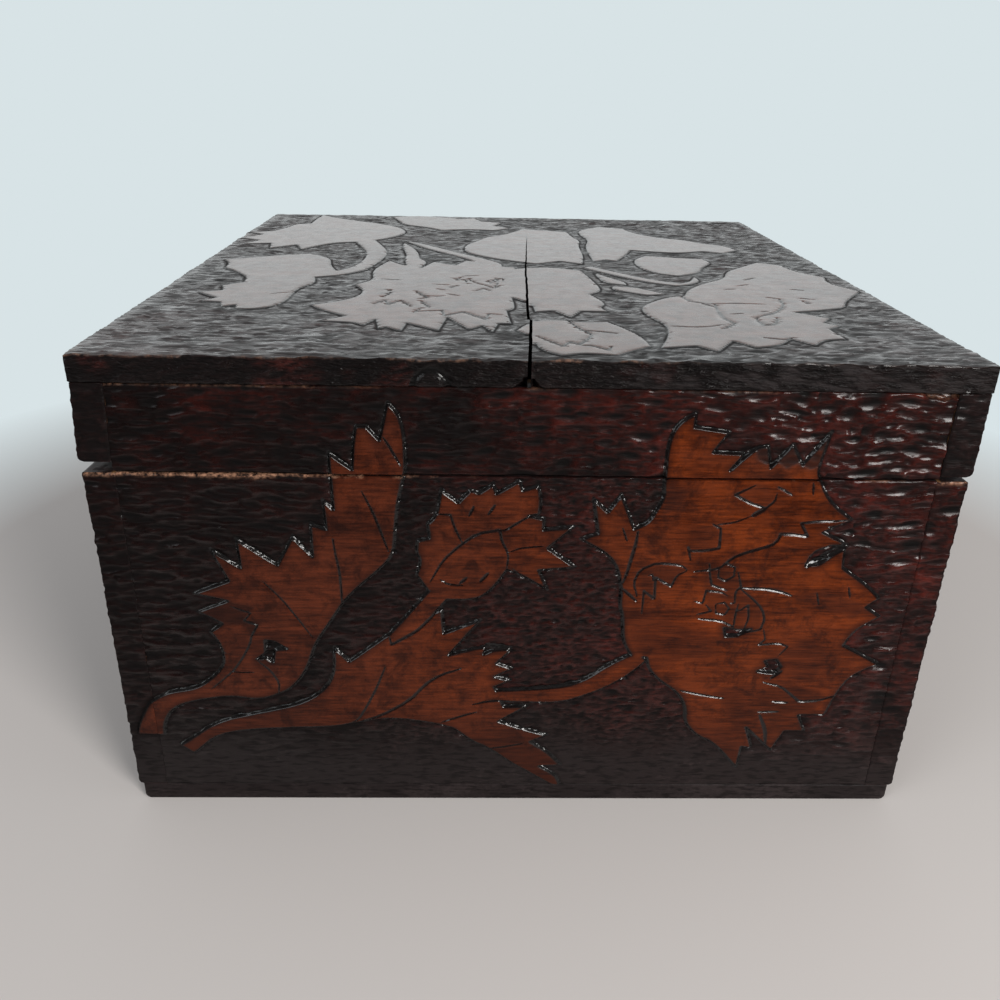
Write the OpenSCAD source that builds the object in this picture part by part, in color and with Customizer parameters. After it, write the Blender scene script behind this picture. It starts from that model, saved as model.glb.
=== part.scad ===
// A hinged wooden box with a burnt and carved spray of leaves and flowers.
// Millimetres. X runs to the right, Y to the back, Z up, and the front looks along -Y.

/* [Body] */
// Width of the body across its front
body_w = 254; // [200:1:320]
// Depth of the body from front to back
body_d = 280; // [220:1:340]
// Height of the body with its base board
body_h = 119; // [90:1:160]
// Thickness of the four wall boards
board_t = 9.5; // [7:0.5:14]
// Thickness of the base board
base_t = 6.4; // [4:0.2:10]
// How far the base board's ends are set in from the side boards
base_inset = 1.5; // [0:0.1:3]
// Rounding of the side boards' lower outer edge
foot_r = 2; // [0.5:0.5:4]

/* [Lid] */
// Height of the lid's front and back rails
rail_h = 26; // [20:1:45]
// Thickness of the four rails
rail_t = 9.5; // [7:0.5:14]
// How far the side rails stand out past the body
rail_overhang = 0.5; // [0:0.1:1.5]
// How far the left rail leans in at its top
rail_lean = 1.5; // [0:0.1:2]
// How much the left rail falls short of the front rail's lower edge
left_rail_lift = 3; // [0:0.5:4]
// How much the right rail falls short of the front rail's lower edge
right_rail_lift = 1; // [0:0.5:4]
// Rounding of the side rails' lower outer edge
rail_r = 2; // [0.5:0.5:4]
// Thickness of the lid's top board before it was carved
top_t = 8.8; // [6:0.2:14]
// Rounding of the top board's corners seen from above
top_r = 2; // [0.5:0.5:6]
// Gap between the lid and the body all round
parting_gap = 0.4; // [0.3:0.1:1]

/* [Carving] */
// How far the ground is cut down round the figures
carve = 0.8; // [0.4:0.1:1.5]

/* [Crack in the lid] */
// Width of the crack where it opens on the front edge
crack_w = 1; // [0.4:0.1:2]
// Length of the crack from the front edge
crack_l = 205; // [120:5:210]
// Length of the crack's front part, where it steps aside
crack_step_l = 45; // [30:1:80]
// Sideways step between the crack's two parts
crack_step = 0.9; // [0.5:0.1:2]
// Width of the chip at the crack's foot
chip_w = 3.6; // [2:0.2:6]
// Radius of the half knot in the front edge
knot_r = 4.8; // [3:0.2:6]
// Distance of the knot to the left of the middle
knot_x = 28; // [20:1:60]
// Width and depth of the shrunken ring round the knot
knot_ring = 0.5; // [0.3:0.1:1]

/* [Hinges] */
// Length of each hinge
hinge_l = 32; // [24:1:45]
// Distance from the body's side to the hinge's near end
hinge_inset = 32; // [20:1:60]
// Thickness of a hinge leaf
leaf_t = 1; // [0.8:0.1:1.5]
// Width of a leaf on the edge of its board
leaf_w = 8; // [6:0.5:9]
// Outer radius of the knuckles
knuckle_r = 2; // [1.8:0.1:2.4]
// Radius of the hinge pin
pin_r = 1; // [0.7:0.1:1.1]
// Running clearance round the pin
pin_play = 0.05; // [0.02:0.01:0.1]
// Gap between two knuckles
knuckle_gap = 0.3; // [0.2:0.1:0.5]
// Gap between the knuckles and the back of the box
barrel_gap = 0.4; // [0.3:0.1:1]
// Play between a leaf and the ends of its mortise
mortise_play = 0.1; // [0.05:0.05:0.3]

/* [Screws and brads] */
// Length of a hinge screw
screw_l = 10; // [6:0.5:14]
// Radius of a hinge screw's shank
screw_r = 1; // [0.7:0.1:1.2]
// Radius of a hinge screw's head
screw_head_r = 1.9; // [1.5:0.1:2.1]
// Distance of a screw from the end of its leaf
screw_end = 6; // [4:0.5:9]
// Width of the slot in a screw's head
slot_w = 0.5; // [0.3:0.1:0.8]
// Length of a brad
brad_l = 22; // [16:1:26]
// Radius of a brad's shank
brad_r = 0.6; // [0.4:0.1:0.9]
// Radius of a brad's head
brad_head_r = 1; // [0.8:0.1:1.4]
// Depth at which a brad's head is sunk below the surface
brad_sink = 1.2; // [0.8:0.1:2]
// Clearance round every screw and brad
fastener_play = 0.05; // [0.02:0.01:0.1]
// Distance of an end brad from the corner of its board
brad_end = 18; // [12:1:30]

/* [Hidden] */

$fn = 48;
dark = "#2b1a17";
figure = "#7a3d22";
brass = "#b08d4a";
steel = "#77736c";
// Small overlap that lets a cutter pass a face
eps = 0.01;

// The box is centred with its hinge barrels inside its depth
hinge_out = knuckle_r + barrel_gap;
y_front = -(body_d + hinge_out + knuckle_r) / 2;
y_back = y_front + body_d;
y_ground = y_front + carve;
inner_w = body_w - 2 * board_t;
rail_z = body_h + parting_gap;
top_z = rail_z + rail_h;
lid_z = top_z + top_t;
ground_z = lid_z - carve;
axis_y = y_back + hinge_out;
axis_z = body_h + parting_gap / 2;
knuckle_l = (hinge_l - 2 * knuckle_gap) / 3;
lid_x = body_w / 2 + rail_overhang;

// Hinge mid points along the back, left then right
hinge_x = [for (s = [-1, 1]) s * (body_w / 2 - hinge_inset - hinge_l / 2)];
// Screw places along one leaf, measured from its middle
screw_x = [for (s = [-1, 1]) s * (hinge_l / 2 - screw_end)];
// Brads along each side of the box and up each corner of the body
brad_rows = 3;

// The carving was laid out for a box of this width, depth and height
sheet_w = 254;
sheet_d = 280;
sheet_h = 119;
function on_front(points) =
    [for (p = points) [p.x * body_w / sheet_w, p.y * body_h / sheet_h]];
function on_top(points) =
    [for (p = points) [p.x * body_w / sheet_w, p.y * body_d / sheet_d]];

// Front carving: x from the middle, then height above the floor.
// The tall leaf on the left starts at its tip on the lid rail.
leaf_tall = [[-50.5, 121], [-50, 128], [-49, 134], [-46, 134], [-42.5, 130], [-40, 141],
    [-37, 138], [-35.5, 131], [-35.5, 121],
    [-38, 111], [-39, 101], [-39.5, 95], [-42, 90.5], [-54, 79.5], [-58.5, 72], [-65, 62],
    [-67.5, 53.5], [-72.5, 46], [-78, 43],
    [-84, 41], [-92, 42.5], [-100, 41.5], [-108, 39.5], [-112, 37], [-115, 32], [-115.5, 27],
    [-124, 27], [-124, 29], [-122.5, 33], [-119, 39.5], [-112.5, 44], [-102.5, 45.5],
    [-95.5, 51.5], [-93, 56], [-94, 62.5], [-96.5, 66.5], [-92.5, 69.5], [-99.5, 73.5],
    [-90, 77.5], [-100, 80], [-89, 84.5], [-93.5, 95], [-85, 89], [-85.5, 98.5], [-74, 90],
    [-69, 99.5], [-63.5, 93], [-63.5, 103.5], [-59, 102], [-59.5, 111.5], [-56.5, 108.5],
    [-57, 126]];

// The low leaf with its stem, and its drooping tip
leaf_low = [[-111, 23], [-107, 19.5], [-104, 22], [-99.5, 26.5], [-91, 29], [-76, 30],
    [-61, 30.5], [-54.5, 32], [-41, 34.5], [-23.5, 31], [-20.5, 28.8], [-16.3, 25],
    [-10.3, 22], [-3, 15.8], [4.3, 11], [10, 7], [14, 5.5], [12, 11], [6.3, 14.6],
    [13.5, 15], [9, 20.5], [3, 24.8], [8.5, 27.4], [1, 29.8], [-7.5, 33], [1.5, 39],
    [-6, 38.8], [-9, 46.5], [-4, 49], [-9, 50.5], [-3.5, 53.5], [-8.5, 55.5], [-4, 60.5],
    [-12.5, 62], [-23.5, 58.5], [-13.5, 71.5], [-25, 66.5], [-25.5, 75], [-42, 66],
    [-54.5, 56], [-59, 61], [-59.5, 49], [-68, 40.5], [-83, 36.5], [-97.5, 33],
    [-108, 25]];

// The bud with its petals and the short stem below it
bud = [[-41, 62], [-41.5, 66.5], [-36, 73], [-29.5, 81.5], [-33, 87], [-31.5, 92],
    [-33, 94.5], [-32.5, 98.5], [-29, 99.5], [-29.5, 104], [-26.5, 107],
    [-25.5, 115], [-20.5, 111], [-17, 115], [-14.5, 114], [-10.5, 117], [-9.5, 114],
    [-3, 118], [-2, 115], [2.5, 116.5], [3.5, 111.5], [3, 107.5], [0, 107], [4.5, 106],
    [4.5, 102.5], [13.5, 103.5], [6, 96.5], [14.5, 90], [3.5, 89], [6.5, 82], [-1, 87],
    [-6, 89], [-10, 82.5], [-15, 78.5], [-24, 78.5], [-29, 72], [-33, 67.5]];

// The stem that carries the large blossom
flower_stem = [[-10, 45], [12, 46.3], [20, 49.6], [26.3, 55], [33, 59], [36.5, 59],
    [38.8, 57], [33.7, 51.6], [27, 46.7], [20, 43.4], [13.3, 40.8], [6.5, 40.4],
    [-10, 41]];

// The large blossom, from its top petal on the lid rail, clockwise
blossom = [[38.5, 117], [38.5, 130], [40.5, 136], [45.5, 139], [45.5, 135], [55.5, 133.5],
    [51.5, 127.5], [60.5, 127], [57, 122], [63.5, 129], [67, 129.5], [68.5, 123],
    [74, 130], [77.5, 124], [84.5, 134], [82, 122],
    [87, 112.5], [95, 106.5], [87, 102.5], [94, 99], [84, 91], [94.5, 97], [95, 90.5],
    [103, 85], [108, 80], [104.5, 77], [109.5, 73.5], [102.5, 68.5], [100, 63], [112.5, 56],
    [103, 51], [98.5, 36], [90, 36], [93, 29.5], [86.5, 29.5], [83, 21.5], [73.5, 31],
    [76.5, 22.5], [73, 23], [72.5, 14], [64, 24.5], [57.5, 27.5], [53, 33], [53, 38.5],
    [50, 44.5], [42.5, 50], [39.5, 54], [38.5, 58], [33.5, 59], [30.5, 64], [30, 73],
    [28.5, 77.5], [29, 83], [26, 93.5], [15.5, 99.5], [20.5, 101.5], [18.5, 112.5],
    [23, 108.5], [26.5, 114], [31, 103], [35, 105], [37, 109], [39, 113.5]];

// Lid carving: x from the middle, then distance behind the box's own centre.
// The leaf on the left, from its far tip, clockwise
lid_leaf = [[-118, -4], [-108, 1], [-97, 8], [-86, 12], [-76, 3], [-74, -12], [-70, -24],
    [-64, -14], [-58, -20], [-66, -32], [-76, -37], [-74, -48], [-79, -57], [-79, -79],
    [-82, -86], [-88, -90], [-93, -89], [-94, -84], [-98, -87], [-100, -80], [-107, -79],
    [-103, -74], [-111, -66], [-104, -62], [-106, -54], [-100, -48], [-101, -38],
    [-109, -26], [-114, -21], [-114, -12]];

// The blossom left of the crack, from its far left tip, clockwise
lid_blossom = [[-52, 0], [-46, -10], [-38, -15], [-34, -2], [-25, -9], [-21, 2], [-14, -2],
    [-8, -9], [-1, -12], [-2, -40], [-4, -60], [-3, -84], [-6, -87], [-5, -104],
    [-9, -104], [-11, -115], [-14, -107], [-18, -112], [-25, -97], [-27, -114],
    [-37, -105], [-38, -115], [-43, -110], [-45, -113], [-47, -101], [-50, -109],
    [-53, -105], [-64, -104], [-57, -97], [-65, -90], [-70, -83], [-58, -73], [-55, -60],
    [-60, -49], [-54, -40], [-57, -22]];

// Its petals right of the crack, which run across the crack's front half
lid_petals = [[-5, -17], [5, -12], [13, -10], [25, -16], [28, -38], [29, -54], [24, -60],
    [28, -74], [25, -80], [27, -86], [18, -86], [14, -95], [9, -86], [3, -88], [2.5, -76],
    [-5, -65]];

// The small bud at the front, right of the crack and with one tip across it
lid_bud = [[2, -100], [10, -98], [17, -101], [25, -100], [29, -107], [33, -117],
    [34, -128], [28, -133], [23, -138], [14, -136], [8, -139], [2, -134], [0, -118],
    [-4, -112], [-2, -107]];

// The blossom on the right, from its far tip, clockwise
lid_rose = [[101, 8], [110, 2], [112, -12], [120, -22], [117, -34], [124, -48],
    [112, -66], [109, -75], [101, -79], [89, -83], [98, -91], [94, -97], [98, -101],
    [93, -105], [94, -117], [87, -118], [82, -125], [77, -118], [72, -125], [64, -128],
    [59, -121], [52, -133], [47, -127], [36, -130], [41, -116], [43, -103], [39, -92],
    [38, -82], [41, -74], [50, -63], [57, -60], [60, -50], [68, -38], [79, -28],
    [83, -13], [91, -4]];

// The long leaf along the far left edge
lid_far_leaf = [[-110.5, 83], [-108, 95], [-101, 99], [-101, 112], [-100, 132], [-92, 122],
    [-80, 112], [-66, 102], [-54, 90], [-50, 74], [-56, 58], [-66, 46], [-82, 40],
    [-92, 22], [-96, 34], [-106, 24], [-108, 37], [-120, 34], [-115, 45], [-124, 50],
    [-117, 62], [-125, 68], [-115, 71]];

// The curved stems between the leaves, and the leaf at the back
lid_stem_left = [[-64, 54], [-59, 38], [-55, 24], [-54, 8], [-58, -18], [-66, -24],
    [-62, 4], [-64, 22], [-72, 46]];
lid_stem_mid = [[-50, 50], [-42, 44], [-24, 20], [-6, -2], [-6, -16], [-12, -11], [-22, 9],
    [-38, 28]];
lid_tendril = [[-50, 46], [-44, 31], [-41, 18], [-40, 5], [-36, -2], [-39, -18], [-44, -14],
    [-46, 2], [-46, 14], [-49, 30]];
lid_back_leaf = [[-62, 128], [-48, 134], [-34, 130], [-26, 124], [-18, 128], [-14, 116],
    [-4, 112], [-8, 101], [0, 94], [-8, 86], [-22, 88], [-34, 84], [-42, 93],
    [-54, 100], [-57, 112]];

// The leaf across the crack and the broad leaf behind the right blossom
lid_mid_leaf = [[-22, 40], [-17, 52], [-12, 65], [-4, 72], [6, 92], [18, 88], [28, 84],
    [29, 70], [32, 58], [29.5, 44], [29.5, 18], [27, -2], [18, 4], [8, -3], [-6, 5],
    [-16, 14], [-22, 24]];
lid_wide_leaf = [[34, 92], [46, 104], [58, 98], [61, 84], [71, 70], [83, 65], [88, 56],
    [98, 50], [101, 38], [92, 30], [84, 34], [72, 28], [60, 31], [52, 34], [48, 21],
    [42, 6], [38, 9], [32, 4], [32, 20], [32, 42], [36, 60], [33, 78]];

// The oval leaf with the hooked stem below it
lid_oval = [[49, 10], [56, 20], [69, 16], [80, 14], [82, 5], [75, -6], [72, -17],
    [62, -24], [54, -20], [49, -8]];
lid_hook = [[30, -6], [40, -20], [52, -34], [60, -38], [64, -35], [68, -24], [69, -33],
    [64, -40], [58, -43], [48, -38], [36, -24], [26, -10]];

// Two strands of foliage between the petals and the hooked stem
lid_strand = [[29.5, -19], [33.5, -27], [40, -38], [39, -43], [33, -41], [30.5, -36]];
lid_strand_low = [[33, -46], [40, -46], [46, -51], [51, -58], [44, -60], [37, -55], [33, -51]];

module front_drawing() {
    polygon(on_front(leaf_tall));
    polygon(on_front(leaf_low));
    polygon(on_front(bud));
    polygon(on_front(flower_stem));
    polygon(on_front(blossom));
}

module lid_drawing() {
    polygon(on_top(lid_leaf));
    polygon(on_top(lid_blossom));
    polygon(on_top(lid_petals));
    polygon(on_top(lid_bud));
    polygon(on_top(lid_rose));
    polygon(on_top(lid_far_leaf));
    polygon(on_top(lid_stem_left));
    polygon(on_top(lid_stem_mid));
    polygon(on_top(lid_tendril));
    polygon(on_top(lid_back_leaf));
    polygon(on_top(lid_mid_leaf));
    polygon(on_top(lid_wide_leaf));
    polygon(on_top(lid_oval));
    polygon(on_top(lid_hook));
    polygon(on_top(lid_strand));
    polygon(on_top(lid_strand_low));
}

// The figures that fall on one board of the front, standing proud of its ground.
// The slab starts inside the board, so that figure and board are one piece.
module front_relief(x0, x1, z0, z1) {
    translate([0, y_ground + carve, 0]) rotate([90, 0, 0]) linear_extrude(2 * carve)
        intersection() {
            front_drawing();
            translate([x0, z0]) square([x1 - x0, z1 - z0]);
        }
}

// A board standing on edge across the box: its outline in x and z, from y0 to y1
module across(y0, y1) {
    translate([0, y1, 0]) rotate([90, 0, 0]) linear_extrude(y1 - y0) children();
}

// What is cut away to round a lower outer edge; side is -1 on the left, 1 on the right
module edge_waste(side, r) {
    difference() {
        translate([side > 0 ? 0 : -r - 1, -r - 1]) square(r + 1);
        circle(r);
    }
}

// The end outline of a side board or side rail: a rectangle that leans in at its top,
// with its lower outer edge rounded
module side_profile(side, x, t, z0, z1, lean, r) {
    difference() {
        polygon([[side * x, z0], [side * (x - t), z0],
            [side * (x - t - lean), z1], [side * (x - lean), z1]]);
        translate([side * (x - r), z0 + r]) edge_waste(side, r);
    }
}

// A rectangle seen from above with its four corners rounded
module rounded_panel(x0, x1, y0, y1, r) {
    translate([x0 + r, y0]) square([x1 - x0 - 2 * r, y1 - y0]);
    translate([x0, y0 + r]) square([x1 - x0, y1 - y0 - 2 * r]);
    for (x = [x0 + r, x1 - r], y = [y0 + r, y1 - r]) translate([x, y]) circle(r);
}

// Fasteners point along -Z with the top of the head at z = 0
module screw_shape(play) {
    head_h = screw_head_r - screw_r;
    translate([0, 0, -head_h]) cylinder(h = head_h, r1 = screw_r + play, r2 = screw_head_r + play);
    translate([0, 0, -screw_l - play]) cylinder(h = screw_l - head_h + play + eps, r = screw_r + play);
}

module brad_shape(play) {
    head_h = brad_head_r / 2;
    translate([0, 0, -head_h - play]) cylinder(h = head_h + 2 * play, r = brad_head_r + play);
    translate([0, 0, -brad_l - play]) cylinder(h = brad_l, r = brad_r + play);
}

// Places of the fasteners; each module sets its children at every place
module at_body_corner_brads() {
    step = (body_h - base_t - 2 * brad_end) / (brad_rows - 1);
    for (side = [-1, 1], y = [y_front + board_t / 2, y_back - board_t / 2], i = [0:brad_rows - 1])
        translate([side * (body_w / 2 - brad_sink), y, base_t + brad_end + i * step])
            rotate([0, side * 90, 0]) children();
}

module at_lid_corner_brads() {
    lean_part = rail_lean / 2;
    for (side = [-1, 1], y = [y_front + rail_t / 2, y_back - rail_t / 2], f = [1, 2])
        translate([side * (lid_x - brad_sink) + (side < 0 ? lean_part : 0), y,
            rail_z + left_rail_lift + (rail_h - left_rail_lift) * f / 3])
            rotate([0, side * 90, 0]) children();
}

// Brads in two rows along the sides and one between them at the front and the back
module at_edge_brads(x, y0, y1, z, turn) {
    for (sx = [-1, 1], i = [0:brad_rows - 1])
        translate([sx * x, y0 + brad_end + i * (y1 - y0 - 2 * brad_end) / (brad_rows - 1), z])
            rotate([turn, 0, 0]) children();
    for (sx = [-1, 1], y = [y0 + board_t / 2, y1 - board_t / 2])
        translate([sx * x / 3, y, z]) rotate([turn, 0, 0]) children();
}

module at_base_brads() {
    at_edge_brads(body_w / 2 - board_t / 2, y_front, y_back, brad_sink, 180) children();
}

module at_lid_top_brads() {
    at_edge_brads(body_w / 2 - rail_t / 2 - rail_lean / 2, y_front, y_back,
        ground_z - brad_sink, 0) children();
}

module at_body_screws() {
    for (x = hinge_x, s = screw_x)
        translate([x + s, y_back - leaf_w / 2, body_h]) children();
}

module at_lid_screws() {
    for (x = hinge_x, s = screw_x)
        translate([x + s, y_back - leaf_w / 2, rail_z]) rotate([180, 0, 0]) children();
}

// The shallow recess that a leaf lies in, cut upwards or downwards from z
module mortises(z, side) {
    for (x = hinge_x)
        translate([x - hinge_l / 2 - mortise_play, y_back - leaf_w, side > 0 ? z - eps : z - leaf_t])
            cube([hinge_l + 2 * mortise_play, leaf_w + eps, leaf_t + eps]);
}

module front_board() {
    color(figure) difference() {
        union() {
            across(y_ground, y_front + board_t)
                translate([-inner_w / 2, base_t]) square([inner_w, body_h - base_t]);
            front_relief(-inner_w / 2, inner_w / 2, base_t, body_h);
        }
        at_body_corner_brads() brad_shape(fastener_play);
        at_base_brads() brad_shape(fastener_play);
    }
}

module back_board() {
    color(dark) difference() {
        across(y_back - board_t, y_back)
            translate([-inner_w / 2, base_t]) square([inner_w, body_h - base_t]);
        mortises(body_h, -1);
        at_body_screws() screw_shape(fastener_play);
        at_body_corner_brads() brad_shape(fastener_play);
        at_base_brads() brad_shape(fastener_play);
    }
}

module side_board(side) {
    color(dark) difference() {
        union() {
            across(y_ground, y_back)
                side_profile(side, body_w / 2, board_t, base_t, body_h, 0, foot_r);
            front_relief(side > 0 ? inner_w / 2 : -body_w / 2, side > 0 ? body_w / 2 : -inner_w / 2,
                base_t + foot_r, body_h);
        }
        at_body_corner_brads() brad_shape(fastener_play);
        at_base_brads() brad_shape(fastener_play);
    }
}

module left_board() {
    side_board(-1);
}

module right_board() {
    side_board(1);
}

module base_board() {
    half = body_w / 2 - base_inset;
    color(dark) difference() {
        across(y_ground, y_back)
            difference() {
                translate([-half, 0]) square([2 * half, base_t]);
                for (side = [-1, 1]) translate([side * (half - foot_r), foot_r])
                    edge_waste(side, foot_r);
            }
        at_base_brads() brad_shape(fastener_play);
        at_base_brads() cylinder(h = brad_sink + eps, r = brad_head_r + fastener_play);
    }
}

// The crack's line: x at the front edge, at the step, halfway back and at its end
crack_x = [-1.2, 1.3, 3, 7];

// The drying crack: a front part, a rear part that starts a little to its left,
// both narrowing to the back, and the chip at its foot
module crack() {
    y_step = y_front + crack_step_l;
    y_end = y_front + crack_l;
    y_half = (y_step + y_end) / 2;
    wide = crack_w / 2;
    fine = crack_w / 4;
    linear_extrude(top_t + 2 * eps) {
        polygon([[crack_x[0] - wide, y_front - eps], [crack_x[0] + wide, y_front - eps],
            [crack_x[1] + fine, y_step], [crack_x[1] - fine, y_step]]);
        polygon([[crack_x[1] - crack_step - fine, y_step], [crack_x[1] - crack_step + fine, y_step],
            [crack_x[2] + fine, y_half], [crack_x[3], y_end], [crack_x[2] - fine, y_half]]);
    }
    translate([crack_x[0], y_front - eps, -eps]) rotate([-90, 0, 0]) linear_extrude(chip_w)
        polygon([[-chip_w, 0], [-chip_w / 3, -crack_w], [0, -chip_w], [chip_w, 0],
            [chip_w, eps], [-chip_w, eps]]);
}

// The shrinkage ring round the half knot, cut into the front edge
module knot_groove() {
    translate([-knot_x, y_front - eps, 0]) rotate([-90, 0, 0])
        difference() {
            cylinder(h = knot_ring + eps, r = knot_r);
            translate([0, 0, -eps]) cylinder(h = knot_ring + 3 * eps, r = knot_r - knot_ring);
        }
}

module lid_top() {
    color(figure) difference() {
        translate([0, 0, top_z]) union() {
            linear_extrude(top_t - carve)
                rounded_panel(-lid_x + rail_lean, lid_x, y_front, y_back, top_r);
            linear_extrude(top_t) intersection() {
                lid_drawing();
                rounded_panel(-lid_x + rail_lean, lid_x, y_front, y_back, top_r);
            }
        }
        translate([0, 0, top_z - eps]) crack();
        translate([0, 0, top_z]) knot_groove();
        at_lid_top_brads() brad_shape(fastener_play);
    }
}

// The outline of the front and the back rail; the left end follows the leaning rail
module cross_rail_profile() {
    polygon([[-lid_x + rail_t, rail_z], [lid_x - rail_t, rail_z],
        [lid_x - rail_t, top_z], [-lid_x + rail_t + rail_lean, top_z]]);
}

module lid_front_rail() {
    color(figure) difference() {
        union() {
            across(y_ground, y_front + rail_t) cross_rail_profile();
            front_relief(-inner_w / 2 + rail_lean, inner_w / 2, rail_z, top_z);
        }
        at_lid_corner_brads() brad_shape(fastener_play);
        at_lid_top_brads() brad_shape(fastener_play);
    }
}

module lid_back_rail() {
    color(dark) difference() {
        across(y_back - rail_t, y_back) cross_rail_profile();
        mortises(rail_z, 1);
        at_lid_screws() screw_shape(fastener_play);
        at_lid_corner_brads() brad_shape(fastener_play);
        at_lid_top_brads() brad_shape(fastener_play);
    }
}

module side_rail(side, lift, lean) {
    slope = lean * lift / rail_h;
    color(dark) difference() {
        across(y_front, y_back)
            side_profile(side, lid_x - slope, rail_t, rail_z + lift, top_z, lean - slope, rail_r);
        at_lid_corner_brads() brad_shape(fastener_play);
        at_lid_top_brads() brad_shape(fastener_play);
    }
}

module lid_left_rail() {
    side_rail(-1, left_rail_lift, rail_lean);
}

module lid_right_rail() {
    side_rail(1, right_rail_lift, 0);
}

// One knuckle, with the tongue that joins it to its leaf; z0 is the leaf's lower face
module knuckle(x0, z0) {
    difference() {
        union() {
            translate([x0, axis_y, axis_z]) rotate([0, 90, 0]) cylinder(h = knuckle_l, r = knuckle_r);
            translate([x0, y_back - eps, z0]) cube([knuckle_l, hinge_out + eps, leaf_t]);
        }
        translate([x0 - 1, axis_y, axis_z]) rotate([0, 90, 0])
            cylinder(h = knuckle_l + 2, r = pin_r + pin_play);
    }
}

// A leaf with its knuckles at the given places of the three
module hinge_leaf(x, z0, places) {
    color(brass) difference() {
        union() {
            translate([x - hinge_l / 2, y_back - leaf_w, z0]) cube([hinge_l, leaf_w, leaf_t]);
            for (i = places)
                knuckle(x - hinge_l / 2 + i * (knuckle_l + knuckle_gap), z0);
        }
        at_body_screws() screw_shape(fastener_play);
        at_lid_screws() screw_shape(fastener_play);
    }
}

module hinge_pin(x) {
    color(brass) translate([x - hinge_l / 2, axis_y, axis_z]) rotate([0, 90, 0])
        cylinder(h = hinge_l, r = pin_r);
}

module hinge_left_body_leaf() {
    hinge_leaf(hinge_x[0], body_h - leaf_t, [0, 2]);
}

module hinge_left_lid_leaf() {
    hinge_leaf(hinge_x[0], rail_z, [1]);
}

module hinge_left_pin() {
    hinge_pin(hinge_x[0]);
}

module hinge_right_body_leaf() {
    hinge_leaf(hinge_x[1], body_h - leaf_t, [0, 2]);
}

module hinge_right_lid_leaf() {
    hinge_leaf(hinge_x[1], rail_z, [1]);
}

module hinge_right_pin() {
    hinge_pin(hinge_x[1]);
}

module slotted_screw() {
    difference() {
        screw_shape(0);
        translate([-slot_w / 2, -screw_head_r, -slot_w]) cube([slot_w, 2 * screw_head_r, slot_w + eps]);
    }
}

module hinge_body_screws() {
    color(brass) at_body_screws() slotted_screw();
}

module hinge_lid_screws() {
    color(brass) at_lid_screws() slotted_screw();
}

module body_corner_brads() {
    color(steel) at_body_corner_brads() brad_shape(0);
}

module base_brads() {
    color(steel) at_base_brads() brad_shape(0);
}

module lid_corner_brads() {
    color(steel) at_lid_corner_brads() brad_shape(0);
}

module lid_top_brads() {
    color(steel) at_lid_top_brads() brad_shape(0);
}

front_board();
back_board();
left_board();
right_board();
base_board();
lid_top();
lid_front_rail();
lid_back_rail();
lid_left_rail();
lid_right_rail();
hinge_left_body_leaf();
hinge_left_lid_leaf();
hinge_left_pin();
hinge_right_body_leaf();
hinge_right_lid_leaf();
hinge_right_pin();
hinge_body_screws();
hinge_lid_screws();
body_corner_brads();
base_brads();
lid_corner_brads();
lid_top_brads();
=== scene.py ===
"""The looks of the carved box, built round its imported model.
Sizes are in millimetres until a mesh is made; x runs right, y back and z up."""

import math

import bmesh
import bpy
import numpy as np
from mathutils import Matrix, Vector


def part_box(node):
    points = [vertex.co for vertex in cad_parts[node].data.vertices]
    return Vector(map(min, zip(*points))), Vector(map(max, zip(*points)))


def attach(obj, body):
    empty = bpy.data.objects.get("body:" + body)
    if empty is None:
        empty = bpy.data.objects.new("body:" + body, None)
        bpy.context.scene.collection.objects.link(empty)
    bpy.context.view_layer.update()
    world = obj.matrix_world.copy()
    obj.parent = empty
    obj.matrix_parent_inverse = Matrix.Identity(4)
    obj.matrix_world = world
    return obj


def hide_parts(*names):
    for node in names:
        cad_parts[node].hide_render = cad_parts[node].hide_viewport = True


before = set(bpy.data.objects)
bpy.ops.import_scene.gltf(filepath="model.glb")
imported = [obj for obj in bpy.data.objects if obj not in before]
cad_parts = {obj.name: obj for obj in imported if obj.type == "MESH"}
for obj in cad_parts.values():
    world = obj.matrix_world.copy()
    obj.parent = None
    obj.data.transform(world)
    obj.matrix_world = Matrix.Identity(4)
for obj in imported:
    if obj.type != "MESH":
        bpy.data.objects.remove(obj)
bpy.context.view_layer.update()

MM = 0.001


def box_mm(node):
    low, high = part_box(node)
    return np.array(low) / MM, np.array(high) / MM


def points_of(mesh):
    points = np.empty(3 * len(mesh.vertices))
    mesh.vertices.foreach_get("co", points)
    return points.reshape(-1, 3) / MM


def placed(name, data):
    """A new object in the scene."""
    thing = bpy.data.objects.new(name, data)
    bpy.context.scene.collection.objects.link(thing)
    return thing


FRONT_LOW, FRONT_HIGH = box_mm("front_board")
LID_LOW, LID_HIGH = box_mm("lid_top")
RAIL_LOW = box_mm("lid_front_rail")[0][2]
# The planes of the carved front and of the carved lid, how far their figures stand above the
# ground, how far the lid's left rail leans in at its top, and how thick a rail is
Y_FRONT = LID_LOW[1]
LID_Z = LID_HIGH[2]
CARVE = 0.8
LEAN = 1.5
RAIL_THICK = 9.5


# ---------------------------------------------------------------- noise
def dice(i, j, seed):
    """A fixed random number from 0 to 1 for each pair of whole numbers."""
    v = np.sin(i * 127.1 + j * 311.7 + seed * 74.7) * 43758.5453
    return v - np.floor(v)


def noise(p, q, size, seed):
    """Smooth noise from -1 to 1 with bumps of this size."""
    p, q = np.asarray(p) / size, np.asarray(q) / size
    i, j = np.floor(p), np.floor(q)
    u, v = p - i, q - j
    u, v = u * u * (3 - 2 * u), v * v * (3 - 2 * v)
    low = dice(i, j, seed) * (1 - u) + dice(i + 1, j, seed) * u
    high = dice(i, j + 1, seed) * (1 - u) + dice(i + 1, j + 1, seed) * u
    return 2 * (low * (1 - v) + high * v) - 1


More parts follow.
